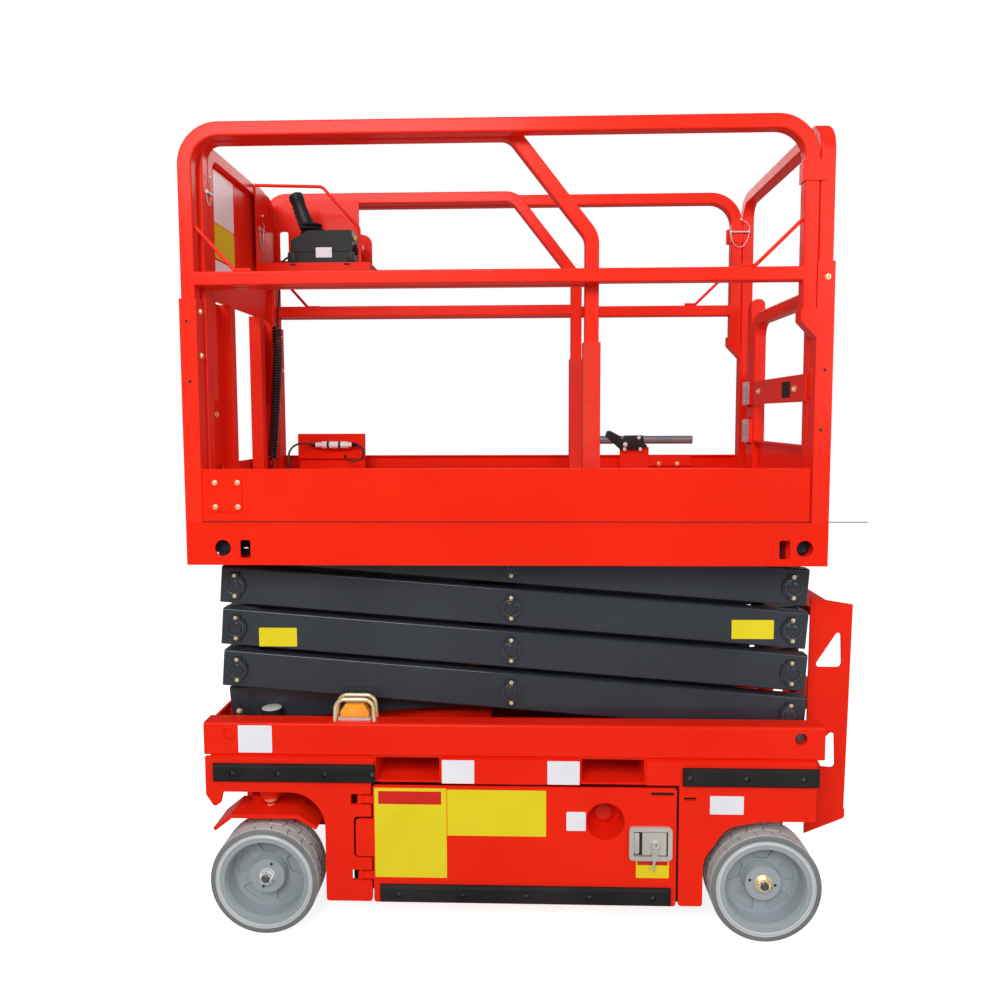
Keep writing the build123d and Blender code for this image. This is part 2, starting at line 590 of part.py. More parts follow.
save("door_near", near_door())
save("door_near_bumper", door_bumper())
save("door_near_latch", door_latch())
button_floor = -DOOR_FACE + CUP_DEPTH - 0.3
save("stop_button", rod_y(*CUP, 23, button_floor - 25.7, button_floor - 11)
     + rod_y(*CUP, 13, button_floor - 12, button_floor))
save("door_far", far(door()))
save("door_far_bumper", far(door_bumper()))
save("door_far_latch", far(door_latch()))
BATTERY = ((-390, -235), (-230, -75), (-70, 85), (90, 245))
save("battery_pack", *[block((x0, x1), (140, 340), (114.3, 360)) for x0, x1 in BATTERY])
save("hydraulic_unit", block((-385, -60), (-340, -150), (114.3, 350)) + rod_x(-245, 240, 75, -61, 130))


# ---------------------------------------------------------------- scissor arms
LOW_ROLLER_Y = (152.0, 188.0)
TOP_ROLLER_Y = (304.0, 344.0)
CYL_LUG_Y = (46.0, 62.0)
CYL_EYE = (MID_X - CYL_LUG_RISE * math.sin(math.radians(ARM_TILT)),
           LOW_PIN_Z + LEVEL_PITCH / 2 + CYL_LUG_RISE * math.cos(math.radians(ARM_TILT)))


def arm_bar(y0, y1):
    """One straight arm tube, front end to rear end, its pins at (0, 0) and (length, 0)."""
    total = ARM_LENGTH + 2 * ARM_END
    bar = Pos(total / 2 - ARM_END, (y0 + y1) / 2, 0) * Box(total, y1 - y0, ARM_HEIGHT)
    bar = fillet(bar.edges().filter_by(Axis.X), ARM_CORNER)
    hollow = Pos(total / 2 - ARM_END, (y0 + y1) / 2, 0) * Box(total + 2, y1 - y0 - 2 * ARM_WALL,
                                                            ARM_HEIGHT - 2 * ARM_WALL)
    bar = bar - hollow
    return bar


def scissor_arm(level, kind):
    """Pair of arm bars with bosses; kind is outer or inner."""
    outer = kind == "outer"
    face, inside = (OUTER_ARM_FACE, OUTER_ARM_INNER) if outer else (INNER_ARM_FACE, INNER_ARM_INNER)
    tilt = ARM_TILT if outer else -ARM_TILT
    front_z = LOW_PIN_Z + (level if outer else level - 1) * LEVEL_PITCH
    bar = arm_bar(-face, -inside)
    for x in (0, ARM_LENGTH / 2, ARM_LENGTH):
        bar = bar + rod_y(x, 0, BOSS_R, -face, -inside)
    # holes where the other arms' pins pass; this arm's own pins stay fast in it
    holes = [ARM_LENGTH] if outer else [ARM_LENGTH / 2] if level == 1 else [0, ARM_LENGTH / 2]
    for x in holes:
        bar = bar - rod_y(x, 0, PIN_R + PIN_FIT, -face - 1, -inside + 1)
    if level == LEVELS:
        # upper end turns close under the deck
        x_end = -ARM_END if outer else ARM_LENGTH + ARM_END
        sign = 1 if outer else -1
        cut = plate_xz(((x_end, ARM_HEIGHT / 2), (x_end + sign * ARM_TOP_CORNER, ARM_HEIGHT / 2),
                        (x_end, ARM_HEIGHT / 2 - ARM_TOP_CORNER)), -face - 1, -inside + 1)
        bar = bar - cut
    if level == LEVELS and not outer:
        along, across = ARM_LOW_CORNER
        cut = plate_xz(((x_end, -ARM_HEIGHT / 2), (x_end - along, -ARM_HEIGHT / 2),
                        (x_end, -ARM_HEIGHT / 2 + across)),
                       -face - 1, -inside + 1)
        bar = bar - cut
    place = Pos(FRONT_PIN_X, 0, front_z) * Rot(0, tilt, 0)
    pieces = both(place * bar)
    mid = (MID_X, LOW_PIN_Z + (level - 0.5) * LEVEL_PITCH)
    front = (FRONT_PIN_X, front_z)
    rear = (REAR_PIN_X, LOW_PIN_Z + (level - 1 if outer else level) * LEVEL_PITCH)
    added = []
    if outer:
        # centre pins reach into the inner arm; the front shaft carries the next inner arm
        added += both(rod_y(*mid, PIN_R, -face, -INNER_ARM_INNER - 4))
        added.append(rod_y(*front, PIN_R, -face, face))
        for place_xz in (mid, front, rear):
            added += both(rod_y(*place_xz, COLLAR_R, -face - COLLAR_THICK, -face))
        if level == LEVELS:
            added += both(rod_y(*front, PIN_R, -TOP_ROLLER_Y[1], -face))
            added += both(rod_y(*front, TOP_ROLLER_R, -TOP_ROLLER_Y[1], -TOP_ROLLER_Y[0]))
    else:
        reach = OUTER_ARM_FACE - PIN_END_GAP if level < LEVELS else TOP_ROLLER_Y[1]
        added.append(rod_y(*rear, PIN_R, -reach, reach))
        for s in (-560, 560):
            cx = mid[0] + s * math.cos(math.radians(ARM_TILT))
            cz = mid[1] + s * math.sin(math.radians(ARM_TILT))
            added.append(rod_y(cx, cz, CROSS_TUBE_R, -INNER_ARM_INNER - 1, INNER_ARM_INNER + 1))
        if level == 1:
            added += both(rod_y(*front, PIN_R, -INNER_ARM_FACE, -LOW_ROLLER_Y[0]))
            added += both(rod_y(*front, LOW_ROLLER_R, -LOW_ROLLER_Y[1], -LOW_ROLLER_Y[0]))
            added += both(rod_y(*mid, CROSS_TUBE_R, -INNER_ARM_INNER, -CYL_LUG_Y[1] + 1))
            for side in (-1, 1):
                y0, y1 = sorted((side * CYL_LUG_Y[0], side * CYL_LUG_Y[1]))
                lug = rod_y(*mid, 36, y0, y1) + rod_y(*CYL_EYE, 34, y0, y1)
                added.append(lug)
    shape = pieces[0]
    for piece in pieces[1:] + added:
        shape = shape + piece
    return shape


for level in range(1, LEVELS + 1):
    for kind in ("outer", "inner"):
        save(f"{kind}_arm_{level}", scissor_arm(level, kind))


# ---------------------------------------------------------------- lift cylinder
def along_cylinder(distance):
    """Point (x, z) on the cylinder's axis at a distance from its foot pin."""
    length = math.hypot(CYL_EYE[0] - CYL_FOOT_X, CYL_EYE[1] - CYL_FOOT_Z)
    t = distance / length
    return CYL_FOOT_X + t * (CYL_EYE[0] - CYL_FOOT_X), CYL_FOOT_Z + t * (CYL_EYE[1] - CYL_FOOT_Z)


def cylinder_bar(start, end, radius):
    a, b = along_cylinder(start), along_cylinder(end)
    plane = Plane(origin=(a[0], 0, a[1]), z_dir=(b[0] - a[0], 0, b[1] - a[1]))
    return extrude(plane * Circle(radius), amount=end - start)


CYL_LENGTH = math.hypot(CYL_EYE[0] - CYL_FOOT_X, CYL_EYE[1] - CYL_FOOT_Z)
BARREL_END = 505.0
eye_half = 40.0
barrel = rod_y(CYL_FOOT_X, CYL_FOOT_Z, 34, -eye_half, eye_half) + cylinder_bar(20, BARREL_END, BARREL_R)
barrel = barrel + cylinder_bar(BARREL_END - 40, BARREL_END, BARREL_R + 4)
barrel = barrel - cylinder_bar(60, BARREL_END + 1, ROD_R + PIN_FIT)
barrel = barrel - rod_y(CYL_FOOT_X, CYL_FOOT_Z, PIN_R + PIN_FIT, -eye_half - 1, eye_half + 1)
save("lift_barrel", barrel)
save("lift_rod", cylinder_bar(70, CYL_LENGTH, ROD_R) + rod_y(*CYL_EYE, 32, -eye_half, eye_half))

# ---------------------------------------------------------------- platform
POST_TOP_FRONT = 1770.0
POST_TOP_REAR = 1853.0
FRONT_LEG_X = PLATFORM_FRONT + POST_SHEET + POST_FIT + TUBE / 2
REAR_LEG_GAP = 1.5          # between the side rail's rear leg and the rear rail
REAR_LEG_X = REAR_RAIL_X - TUBE - REAR_LEG_GAP
LEG_FOOT = 1340.0
RAIL_Z = TOP_RAIL_TOP - TUBE / 2
MID_RAIL_Z = MID_RAIL_TOP - TUBE / 2


def platform_deck():
    skirts = both(block((PLATFORM_FRONT, PLATFORM_REAR), (-HALF_WIDTH, -HALF_WIDTH + SHEET),
                        (SKIRT_BOTTOM, DECK_TOP)))
    deck = block((PLATFORM_FRONT, PLATFORM_REAR), (-HALF_WIDTH + 1, HALF_WIDTH - 1),
                 (DECK_TOP - DECK_SHEET, DECK_TOP))
    ends = [block((x, x + SHEET), (-HALF_WIDTH + 1, HALF_WIDTH - 1), (SKIRT_BOTTOM, DECK_TOP))
            for x in (PLATFORM_FRONT, PLATFORM_REAR - SHEET)]
    shape = deck + skirts[0] + skirts[1] + ends[0] + ends[1]
    for z0, z1 in ((TOP_PIN_Z + TOP_ROLLER_R + ROLLER_GAP, TOP_PIN_Z + TOP_ROLLER_R + 6),
                   (TOP_PIN_Z - TOP_ROLLER_R - 6, TOP_PIN_Z - TOP_ROLLER_R - ROLLER_GAP)):
        flange = block((PLATFORM_FRONT + 20, -110), (-HALF_WIDTH + 1, -TOP_ROLLER_Y[0] + 2), (z0, z1))
        shape = shape + flange + far(flange)
    lug = block((REAR_PIN_X - 38, REAR_PIN_X + 38), (-TOP_ROLLER_Y[1] + 6, -TOP_ROLLER_Y[0]),
                (TOP_PIN_Z - 38, DECK_TOP - 1))
    shape = shape + lug + far(lug)
    for side in (-1, 1):
        y0, y1 = sorted((side * (TOP_ROLLER_Y[0] - 1), side * (TOP_ROLLER_Y[1] + 1)))
        shape = shape - rod_y(REAR_PIN_X, TOP_PIN_Z, PIN_R + PIN_FIT, y0, y1)
    for x in (FRONT_PIN_X, REAR_PIN_X):
        for side in (-1, 1):
            y0, y1 = sorted((side * (HALF_WIDTH - SHEET - 1), side * (HALF_WIDTH + 1)))
            shape = shape - rod_y(x, TOP_PIN_Z, 22, y0, y1)
    # lashing slots beside the pins
    for x in SKIRT_SLOTS:
        shape = shape - rounded_block((x - 14, x + 14), (-HALF_WIDTH - 1, HALF_WIDTH + 1), (1070, 1120), 6)
    return shape


save("platform_deck", platform_deck())
COVER_X = (-869.0, -777.0)  # bolted cover on the toe boards
COVER_Z = (1197.0, 1292.0)


def toe_boards():
    face = -HALF_WIDTH + TOE_INSET
    run = (PLATFORM_FRONT + 46, PLATFORM_REAR - 50)
    side = block(run, (face, face + SHEET), (DECK_TOP, TOE_TOP))
    lip = block(run, (face, face + 16), (TOE_TOP - 4, TOE_TOP))
    cover = rounded_block(COVER_X, (face - 3, face + 1), COVER_Z, 4)
    return both(side + lip + cover)


save("toe_boards", *toe_boards())


def corner_posts():
    front = block((PLATFORM_FRONT, PLATFORM_FRONT + 46), (-HALF_WIDTH, -HALF_WIDTH + POST_SHEET),
                  (DECK_TOP, POST_TOP_FRONT))
    front = front + block((PLATFORM_FRONT, PLATFORM_FRONT + POST_SHEET),
                          (-HALF_WIDTH, -RAIL_Y + TUBE / 2 + 3),
                          (DECK_TOP, POST_TOP_FRONT))
    front = front + block((PLATFORM_FRONT + 43, PLATFORM_FRONT + 46), (-HALF_WIDTH, -RAIL_Y + TUBE / 2 + 3),
                          (DECK_TOP, POST_TOP_FRONT))
    front = front + block((PLATFORM_FRONT, PLATFORM_FRONT + 46), (-HALF_WIDTH, -RAIL_Y + TUBE / 2),
                          (DECK_TOP, LEG_FOOT - 0.3))
    x0 = REAR_RAIL_X - TUBE / 2 - POST_FIT - POST_SHEET
    rear = plate_xz(((x0, DECK_TOP), (PLATFORM_REAR, DECK_TOP), (PLATFORM_REAR, POST_TOP_REAR),
                     (x0, POST_TOP_REAR)),
                    -HALF_WIDTH, -HALF_WIDTH + POST_SHEET)
    rear = rear + block((PLATFORM_REAR - POST_SHEET, PLATFORM_REAR), (-HALF_WIDTH, -RAIL_Y + TUBE / 2 + 3),
                        (DECK_TOP, POST_TOP_REAR))
    rear = rear + block((x0, x0 + POST_SHEET), (-HALF_WIDTH, -RAIL_Y + TUBE / 2 + 3), (DECK_TOP, 1700))
    rear = rear + block((x0, PLATFORM_REAR), (-HALF_WIDTH, -RAIL_Y + TUBE / 2), (DECK_TOP, 1600))
    gusset = plate_xz(((x0 + 1, 1731), (REAR_LEG_X - 24, 1731), (REAR_LEG_X - 24, 1700), (x0 + 1, 1655)),
                      -HALF_WIDTH, -RAIL_Y + TUBE / 2)
    rear = rear + gusset
    # hinge post of the gate, with a closing plate back to the corner
    y0, y1 = GATE_POST_Y
    hinge_post = rounded_block((x0, PLATFORM_REAR), (y0, y1), (DECK_TOP, GATE_POST_TOP), 20)
    hinge_post = hinge_post + block((x0, PLATFORM_REAR), (y0, y1), (DECK_TOP, DECK_TOP + 40))
    closing = block((PLATFORM_REAR - POST_SHEET, PLATFORM_REAR), (y1 - 1, RAIL_Y), (DECK_TOP, 1600))
    far_rear = far(rear) + hinge_post + closing
    for z in GATE_HINGE_Z:
        far_rear = far_rear + rod_z(GATE_HINGE_X, GATE_HINGE_Y, GATE_PIN_R, z - 6, z + GATE_HINGE_LONG + 6)
        for z0 in (z - 6.3, z + GATE_HINGE_LONG + 0.3):
            lug = rod_z(GATE_HINGE_X, GATE_HINGE_Y, 5.5, z0, z0 + 6)
            lug = lug + block((GATE_HINGE_X - 3, GATE_HINGE_X + 3), (GATE_HINGE_Y, y0 + 16), (z0, z0 + 6))
            far_rear = far_rear + lug + block((GATE_HINGE_X, x0 + 1), (y0 + 2, y0 + 16), (z0, z0 + 6))
    return both(front) + [rear, far_rear]


save("corner_posts", *corner_posts())


def side_rail():
    y = -RAIL_Y
    hoop = bent_tube(((FRONT_LEG_X, y, LEG_FOOT), (FRONT_LEG_X, y, RAIL_Z), (REAR_LEG_X, y, RAIL_Z),
                      (REAR_LEG_X, y, 1731.5)),
                     RAIL_BEND, (0, 1, 0))
    mid = straight_tube((FRONT_LEG_X + 10, y, MID_RAIL_Z), (REAR_LEG_X - 10, y, MID_RAIL_Z), (0, 1, 0),
                        MID_TUBE)
    rods = round_bar(((FRONT_LEG_X + 15, y, 1967), (-788, y, MID_RAIL_TOP + 5),
                      (-745, y, MID_RAIL_TOP + 5)), 5, 12)
    rods = rods + round_bar(((REAR_LEG_X - 15, y, 1967), (REAR_LEG_X - 138, y, MID_RAIL_TOP + 5),
                             (REAR_LEG_X - 175, y, MID_RAIL_TOP + 5)), 5, 12)
    sleeve = block((REAR_LEG_X - 21.5, REAR_LEG_X + 20), (y - 22, y + 22), (2058, 2110))
    sleeve = sleeve + block((REAR_LEG_X - 28, REAR_LEG_X + 34), (y - 22, y - TUBE / 2 - 0.3), (2058, 2110))
    shape = hoop + mid + sleeve
    return shape + rods


save("side_rails", *both(side_rail()))

REAR_RAIL_Z = 2200.0
rear_rail = bent_tube(((REAR_RAIL_X, -RAIL_Y, 1600.3), (REAR_RAIL_X, -RAIL_Y, REAR_RAIL_Z),
                       (REAR_RAIL_X, RAIL_Y, REAR_RAIL_Z),
                       (REAR_RAIL_X, RAIL_Y, 1600.3)), 62, (1, 0, 0))
save("rear_rail", rear_rail)

# slide lock on the far toe board: bracket, clamp and round locking bar
LOCK_BACK = HALF_WIDTH - TOE_INSET - SHEET - 0.3
LOCK_Y = LOCK_BACK - 19.2
LOCK_BAR_Z = 1368.0
lock = block((334, 437), (LOCK_Y - 5, LOCK_BACK), (1245, TOE_TOP - 4.3))
lock = lock + block((334, 437), (LOCK_Y - 5, LOCK_Y + 7), (1300, 1342))
lock = lock + block((436, 590), (LOCK_Y + 5, LOCK_BACK), (1275, TOE_TOP - 4.3))
lock = lock + block((352, 415), (LOCK_Y - 17, LOCK_Y + 15), (1338, LOCK_BAR_Z + 14))
lock = lock + rod_x(LOCK_Y, LOCK_BAR_Z, 12, 266, 591)
save("slide_lock", lock)


# ---------------------------------------------------------------- gate
def gate():
    z0 = DECK_TOP + 22
    top = GATE_TOP - TUBE / 2
    frame = bent_tube(((GATE_X, GATE_FAR_Y, z0), (GATE_X, GATE_FAR_Y, top), (GATE_X, GATE_NEAR_Y, top),
                       (GATE_X, GATE_NEAR_Y, z0)), 60, (1, 0, 0))
    toe = block((GATE_X - 3, GATE_X + 1), (GATE_NEAR_Y, GATE_FAR_Y), (z0 + 5, 1371))
    toe = toe + block((GATE_X - 18, GATE_X + 1), (GATE_NEAR_Y, GATE_FAR_Y), (1366, 1371))
    face = GATE_X - TUBE / 2
    latch = block((face - 6, face + 1), (GATE_NEAR_Y - TUBE / 2, GATE_FAR_Y - TUBE / 2), (1490, 1565))
    shape = frame + toe + latch
    for z in GATE_HINGE_Z:
        z1 = z + GATE_HINGE_LONG
        shape = shape + block((GATE_HINGE_X - 3, GATE_HINGE_X + 3), (GATE_FAR_Y - 8, GATE_HINGE_Y), (z, z1))
        shape = shape + block((GATE_HINGE_X - 3, face + 2), (GATE_FAR_Y - 14, GATE_FAR_Y + 8), (z, z1))
        shape = shape + rod_z(GATE_HINGE_X, GATE_HINGE_Y, 5.5, z, z1)
        shape = shape - rod_z(GATE_HINGE_X, GATE_HINGE_Y, GATE_PIN_R + PIN_FIT, z - 1, z1 + 1)
    return shape


save("gate", gate())


# ---------------------------------------------------------------- deck extension
EXT_FRONT_X = -899.0
EXT_DECK_Z = 1178.0
EXT_TOE_Y = EXT_RAIL_Y + 17
SOCKET_WALL = 4.5


def extension_deck():
    x0, x1 = PLATFORM_FRONT + 3, EXTENSION_POST_X + 30
    plate = block((x0, x1), (-EXT_TOE_Y + 2, EXT_TOE_Y - 2), (EXT_DECK_Z, EXT_DECK_Z + 4))
    skids = both(block((x0, x1), (-EXT_TOE_Y, -EXT_TOE_Y + 4), (DECK_TOP + 0.3, EXT_DECK_Z + 4)))
    toes = both(block((EXT_FRONT_X + TUBE / 2 + 1, EXTENSION_POST_X - TUBE / 2 - 1),
                      (-EXT_TOE_Y, -EXT_TOE_Y + 4),
                      (EXT_DECK_Z, EXT_DECK_Z + 90)))
    front = block((x0, x0 + 4), (-EXT_TOE_Y, EXT_TOE_Y), (DECK_TOP + 0.3, TOE_TOP))
    shape = plate + skids[0] + skids[1] + front + toes[0] + toes[1]
    # sockets in which the rear legs of the sliding rails stand
    wide = TUBE / 2 + SOCKET_WALL
    for side in (-1, 1):
        y0, y1 = sorted((side * (EXT_RAIL_Y + wide), side * (EXT_RAIL_Y - wide)))
        tube_y = (y0 + SOCKET_WALL - 0.3, y1 - SOCKET_WALL + 0.3)
        socket = block((EXTENSION_POST_X - wide, EXTENSION_POST_X + wide), (y0, y1),
                       (EXT_DECK_Z + 1, EXTENSION_SOCKET_TOP))
        leg = block((EXTENSION_POST_X - TUBE / 2 - 0.3, EXTENSION_POST_X + TUBE / 2 + 0.3), tube_y,
                    (EXT_DECK_Z + 4, EXTENSION_SOCKET_TOP + 1))
        shape = shape + socket - leg
    return shape


save("extension_deck", extension_deck())


def extension_hoop(y):
    foot = EXT_DECK_Z + 4.3
    hoop = bent_tube(((EXT_FRONT_X, y, foot), (EXT_FRONT_X, y, RAIL_Z), (-44, y, RAIL_Z),
                      (EXTENSION_POST_X, y, 1935),
                      (EXTENSION_POST_X, y, foot)), 60, (0, 1, 0))
    mid = straight_tube((EXT_FRONT_X + 10, y, MID_RAIL_Z), (EXTENSION_POST_X - 10, y, MID_RAIL_Z),
                        (0, 1, 0), MID_TUBE)
    return hoop + mid


CROSS_LEG_Y = EXT_RAIL_Y - TUBE + 2     # legs of the front cross hoop, beside those of the side hoops
CROSS_TOP_Z = 2186.0
PANEL_Z = (1785.0, 2180.0)
WINDOW_HALF = 110.0


def extension_rails():
    hoop = bent_tube(((EXT_FRONT_X, -CROSS_LEG_Y, 1500), (EXT_FRONT_X, -CROSS_LEG_Y, CROSS_TOP_Z),
                      (EXT_FRONT_X, CROSS_LEG_Y, CROSS_TOP_Z), (EXT_FRONT_X, CROSS_LEG_Y, 1500)), 48,
                      (1, 0, 0), MID_TUBE)
    low = straight_tube((EXT_FRONT_X, -CROSS_LEG_Y, PANEL_Z[0]), (EXT_FRONT_X, CROSS_LEG_Y, PANEL_Z[0]),
                        (1, 0, 0), MID_TUBE)
    panel = block((EXT_FRONT_X - 2, EXT_FRONT_X + 2), (-CROSS_LEG_Y, CROSS_LEG_Y), PANEL_Z)
    front = hoop + low + panel
    # lower front: a leg tube either side of the window, closed outward by a plate
    for y0, y1, edge in ((WINDOW_HALF, WINDOW_HALF + TUBE, CROSS_LEG_Y),
                         (-WINDOW_HALF - TUBE, -WINDOW_HALF, -CROSS_LEG_Y)):
        front = front + block((EXT_FRONT_X - TUBE / 2, EXT_FRONT_X + TUBE / 2), (y0, y1),
                              (EXT_DECK_Z + 4.3, PANEL_Z[0]))
        plate_y = (y1 - 1, edge) if edge > 0 else (edge, y0 + 1)
        front = front + block((EXT_FRONT_X - TUBE / 2 + 1, EXT_FRONT_X - TUBE / 2 + 4), plate_y,
                              (TOE_TOP, PANEL_Z[0]))
    return front + extension_hoop(-EXT_RAIL_Y) + extension_hoop(EXT_RAIL_Y)


save("extension_rails", extension_rails())

# control station in the far front corner
STATION_Y = (85.0, EXT_RAIL_Y - TUBE / 2 - 0.3)
STATION_X = (EXT_FRONT_X + 19.3, -509.0)
TRAY_Z = 1953.0
BAR_Y = STATION_Y[0] + 6


def control_bracket():
    x0, x1 = STATION_X
    y0, y1 = STATION_Y
    tray = block(STATION_X, STATION_Y, (TRAY_Z - 4, TRAY_Z)) - rod_z(-830, 165, 12, TRAY_Z - 5, TRAY_Z + 1)
    lip = block(STATION_X, (y0, y0 + 3), (TRAY_Z - 26, TRAY_Z))
    # end plate with a sloping inner edge
    outline = ((y0, TRAY_Z - 4), (y1, TRAY_Z - 4), (y1, 2120), (220, 2125), (172, 2200), (y0, 2206))
    face = make_face(Polyline(*[(x0, y, z) for y, z in outline], close=True))
    side = extrude(face, amount=4, dir=(1, 0, 0))
    # back plate over the far rail, with a window and a rounded foot
    outline = ((x0, TRAY_Z - 4), (-539, TRAY_Z - 4), (-539, 2075), (-583, 2090), (-583, 2205), (x0, 2205))
    back = rounded(plate_xz(outline, y1 - 4, y1), (-539, 2075, 30), (x0, 2205, 60))
    back = back - rounded_block((x0 + 18, -832), (y1 - 5, y1 + 1), (1998, 2098), 8)
    bail = round_bar(((x0, BAR_Y, 2201), (-661, BAR_Y, 2194), (-543, BAR_Y, 2063),
                      (-541, BAR_Y, TRAY_Z - 2)), 5, 25)
    return tray + lip + side + back + bail


save("control_bracket", control_bracket())
BOX_X = (-770.0, -569.0)
BOX_Y = (100.0, 230.0)
BOX_TOP = 2059.0
box_ = plate_xz(((BOX_X[0], TRAY_Z + 0.3), (BOX_X[1], TRAY_Z + 0.3), (BOX_X[1], BOX_TOP),
                 (BOX_X[0] + 60, BOX_TOP),
                 (BOX_X[0], BOX_TOP - 30)), *BOX_Y)
save("control_box", box_)
grip = Pos(0, 0, 12) * Cone(38, 25, 40) + Pos(0, 0, 92) * Cylinder(23, 138)
grip = Pos(-716, 165, BOX_TOP - 18) * Rot(0, -20, 0) * grip
save("joystick", grip - block((-800, -500), (80, 250), (1900, BOX_TOP + 0.3)))

JUNCTION_Y = (EXT_TOE_Y - 36, EXT_TOE_Y - 4.3)
junction = block((-815, -580), JUNCTION_Y, (1306, 1393))
junction = junction + block((-815, -580), (JUNCTION_Y[0] + 16, JUNCTION_Y[1]), (EXT_DECK_Z + 4.3, 1310))
save("junction_box", junction)

# ---------------------------------------------------------------- curly cord
CORD_R = 3.5
COIL_R = 16.0
LEAD = ((-770, 165, 1992), (-790, 165, 1992), (-815, 165, 1978), (-829, 165, 1953), (-832, 168, 1925),
        (-835, 176, 1880), (-842, 186, 1835), (-851, 195, 1790), (-856, 200, 1748))
COIL = ((-856, 200, 1748), (-851, 200, 1690), (-858, 200, 1580), (-869, 200, 1440), (-882, 200, 1300))
TAIL = ((-882, 200, 1300), (-883, 200, 1277), (-870, 201, 1258), (-848, 203, 1254), (-829, 205, 1266),
        (-825, 208, 1290), (-829, 212, 1316), (-824, 219, 1342), (-804, 231, 1360), (-776, 246, 1361),
        (-745, 262, 1355))
PLUG = (-745.0, -617.0)
END_LEAD = ((-617, 262, 1355), (-594, 262, 1355), (-577, 262, 1341), (-575, 261, 1318), (-590, 259, 1301),
            (-612, 257, 1296), (-633, 257, 1303), (-645, 265, 1315), (-646, JUNCTION_Y[0], 1316))


def cord_path(points):
    """Straight runs joined by the largest tangent arcs that the runs allow."""
    radii = []
    for a, b, c in zip(points, points[1:], points[2:]):
        first, second = Vector(*b) - Vector(*a), Vector(*c) - Vector(*b)
        half = math.radians(first.get_angle(second) / 2)
        radii.append(0.45 * min(first.length, second.length) / math.tan(half))
    return FilletPolyline(*points, radius=radii)


def cord(points, radius):
    path = cord_path(points)
    return sweep(Plane(origin=path @ 0, z_dir=path % 0) * Circle(radius), path=path)


save("cord_lead", cord(LEAD, CORD_R))
save("cord_coil", cord(COIL, COIL_R))
save("cord_tail", cord(TAIL, CORD_R))
save("cord_end", cord(END_LEAD, CORD_R))
save("cord_plug", rod_x(262, 1355, 9, PLUG[0], PLUG[1]) + rod_x(262, 1355, 12.5, PLUG[0] + 22, PLUG[1] - 14))
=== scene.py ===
"""Looks of the scissor lift: finishes, fasteners, blank labels, cords, tyre tread, light and camera."""
import math

import bmesh
import bpy
from mathutils import Matrix, Vector


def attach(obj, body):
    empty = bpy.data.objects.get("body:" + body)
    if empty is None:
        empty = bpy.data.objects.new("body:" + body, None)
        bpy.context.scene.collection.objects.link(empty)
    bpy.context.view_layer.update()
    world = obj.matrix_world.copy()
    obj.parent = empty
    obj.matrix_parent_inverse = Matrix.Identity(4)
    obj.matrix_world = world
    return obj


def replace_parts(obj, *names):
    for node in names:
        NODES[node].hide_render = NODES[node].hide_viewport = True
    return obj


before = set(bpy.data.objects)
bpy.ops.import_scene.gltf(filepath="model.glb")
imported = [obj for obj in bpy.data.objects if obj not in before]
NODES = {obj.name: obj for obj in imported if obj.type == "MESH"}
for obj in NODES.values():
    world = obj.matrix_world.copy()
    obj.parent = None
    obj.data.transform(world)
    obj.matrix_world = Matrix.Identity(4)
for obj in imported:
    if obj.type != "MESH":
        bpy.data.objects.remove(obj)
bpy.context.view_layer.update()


# ---------------- finishes
def effect(name, inputs, outputs, build):
    """A shader node group: inputs are (name, type, default), outputs (name, type)."""
    group = bpy.data.node_groups.new(name, "ShaderNodeTree")
    for label, kind, default in inputs:
        socket = group.interface.new_socket(label, in_out="INPUT", socket_type=kind)
        socket.default_value = default
    for label, kind in outputs:
        group.interface.new_socket(label, in_out="OUTPUT", socket_type=kind)
    entry = group.nodes.new("NodeGroupInput")
    exit_ = group.nodes.new("NodeGroupOutput")
    build(group, entry, exit_)
    return group


def noise(tree, scale, detail=3.0, roughness=0.55):
    node = tree.nodes.new("ShaderNodeTexNoise")
    node.inputs["Detail"].default_value = detail
    node.inputs["Roughness"].default_value = roughness
    if not isinstance(scale, (int, float)):
        tree.links.new(scale, node.inputs["Scale"])
    else:
        node.inputs["Scale"].default_value = scale
    return node


def position(tree):
    return tree.nodes.new("ShaderNodeNewGeometry").outputs["Position"]


def ranged(tree, value, low, high, out_low=0.0, out_high=1.0):
    node = tree.nodes.new("ShaderNodeMapRange")
    for label, number in (("From Min", low), ("From Max", high), ("To Min", out_low), ("To Max", out_high)):
        if isinstance(number, (int, float)):
            node.inputs[label].default_value = number
        else:
            tree.links.new(number, node.inputs[label])
    tree.links.new(value, node.inputs["Value"])
    return node.outputs["Result"]


def mixed(tree, factor, a, b):
    node = tree.nodes.new("ShaderNodeMix")
    node.data_type = "RGBA"
    tree.links.new(factor, node.inputs["Factor"])
    for socket, value in ((node.inputs[6], a), (node.inputs[7], b)):
        if isinstance(value, (tuple, list)):
            socket.default_value = (*value[:3], 1.0)
        else:
            tree.links.new(value, socket)
    return node.outputs[2]


def maths(tree, operation, a, b):
    node = tree.nodes.new("ShaderNodeMath")
    node.operation = operation
    for socket, value in ((node.inputs[0], a), (node.inputs[1], b)):
        if isinstance(value, (int, float)):
            socket.default_value = value
        else:
            tree.links.new(value, socket)
    return node.outputs[0]


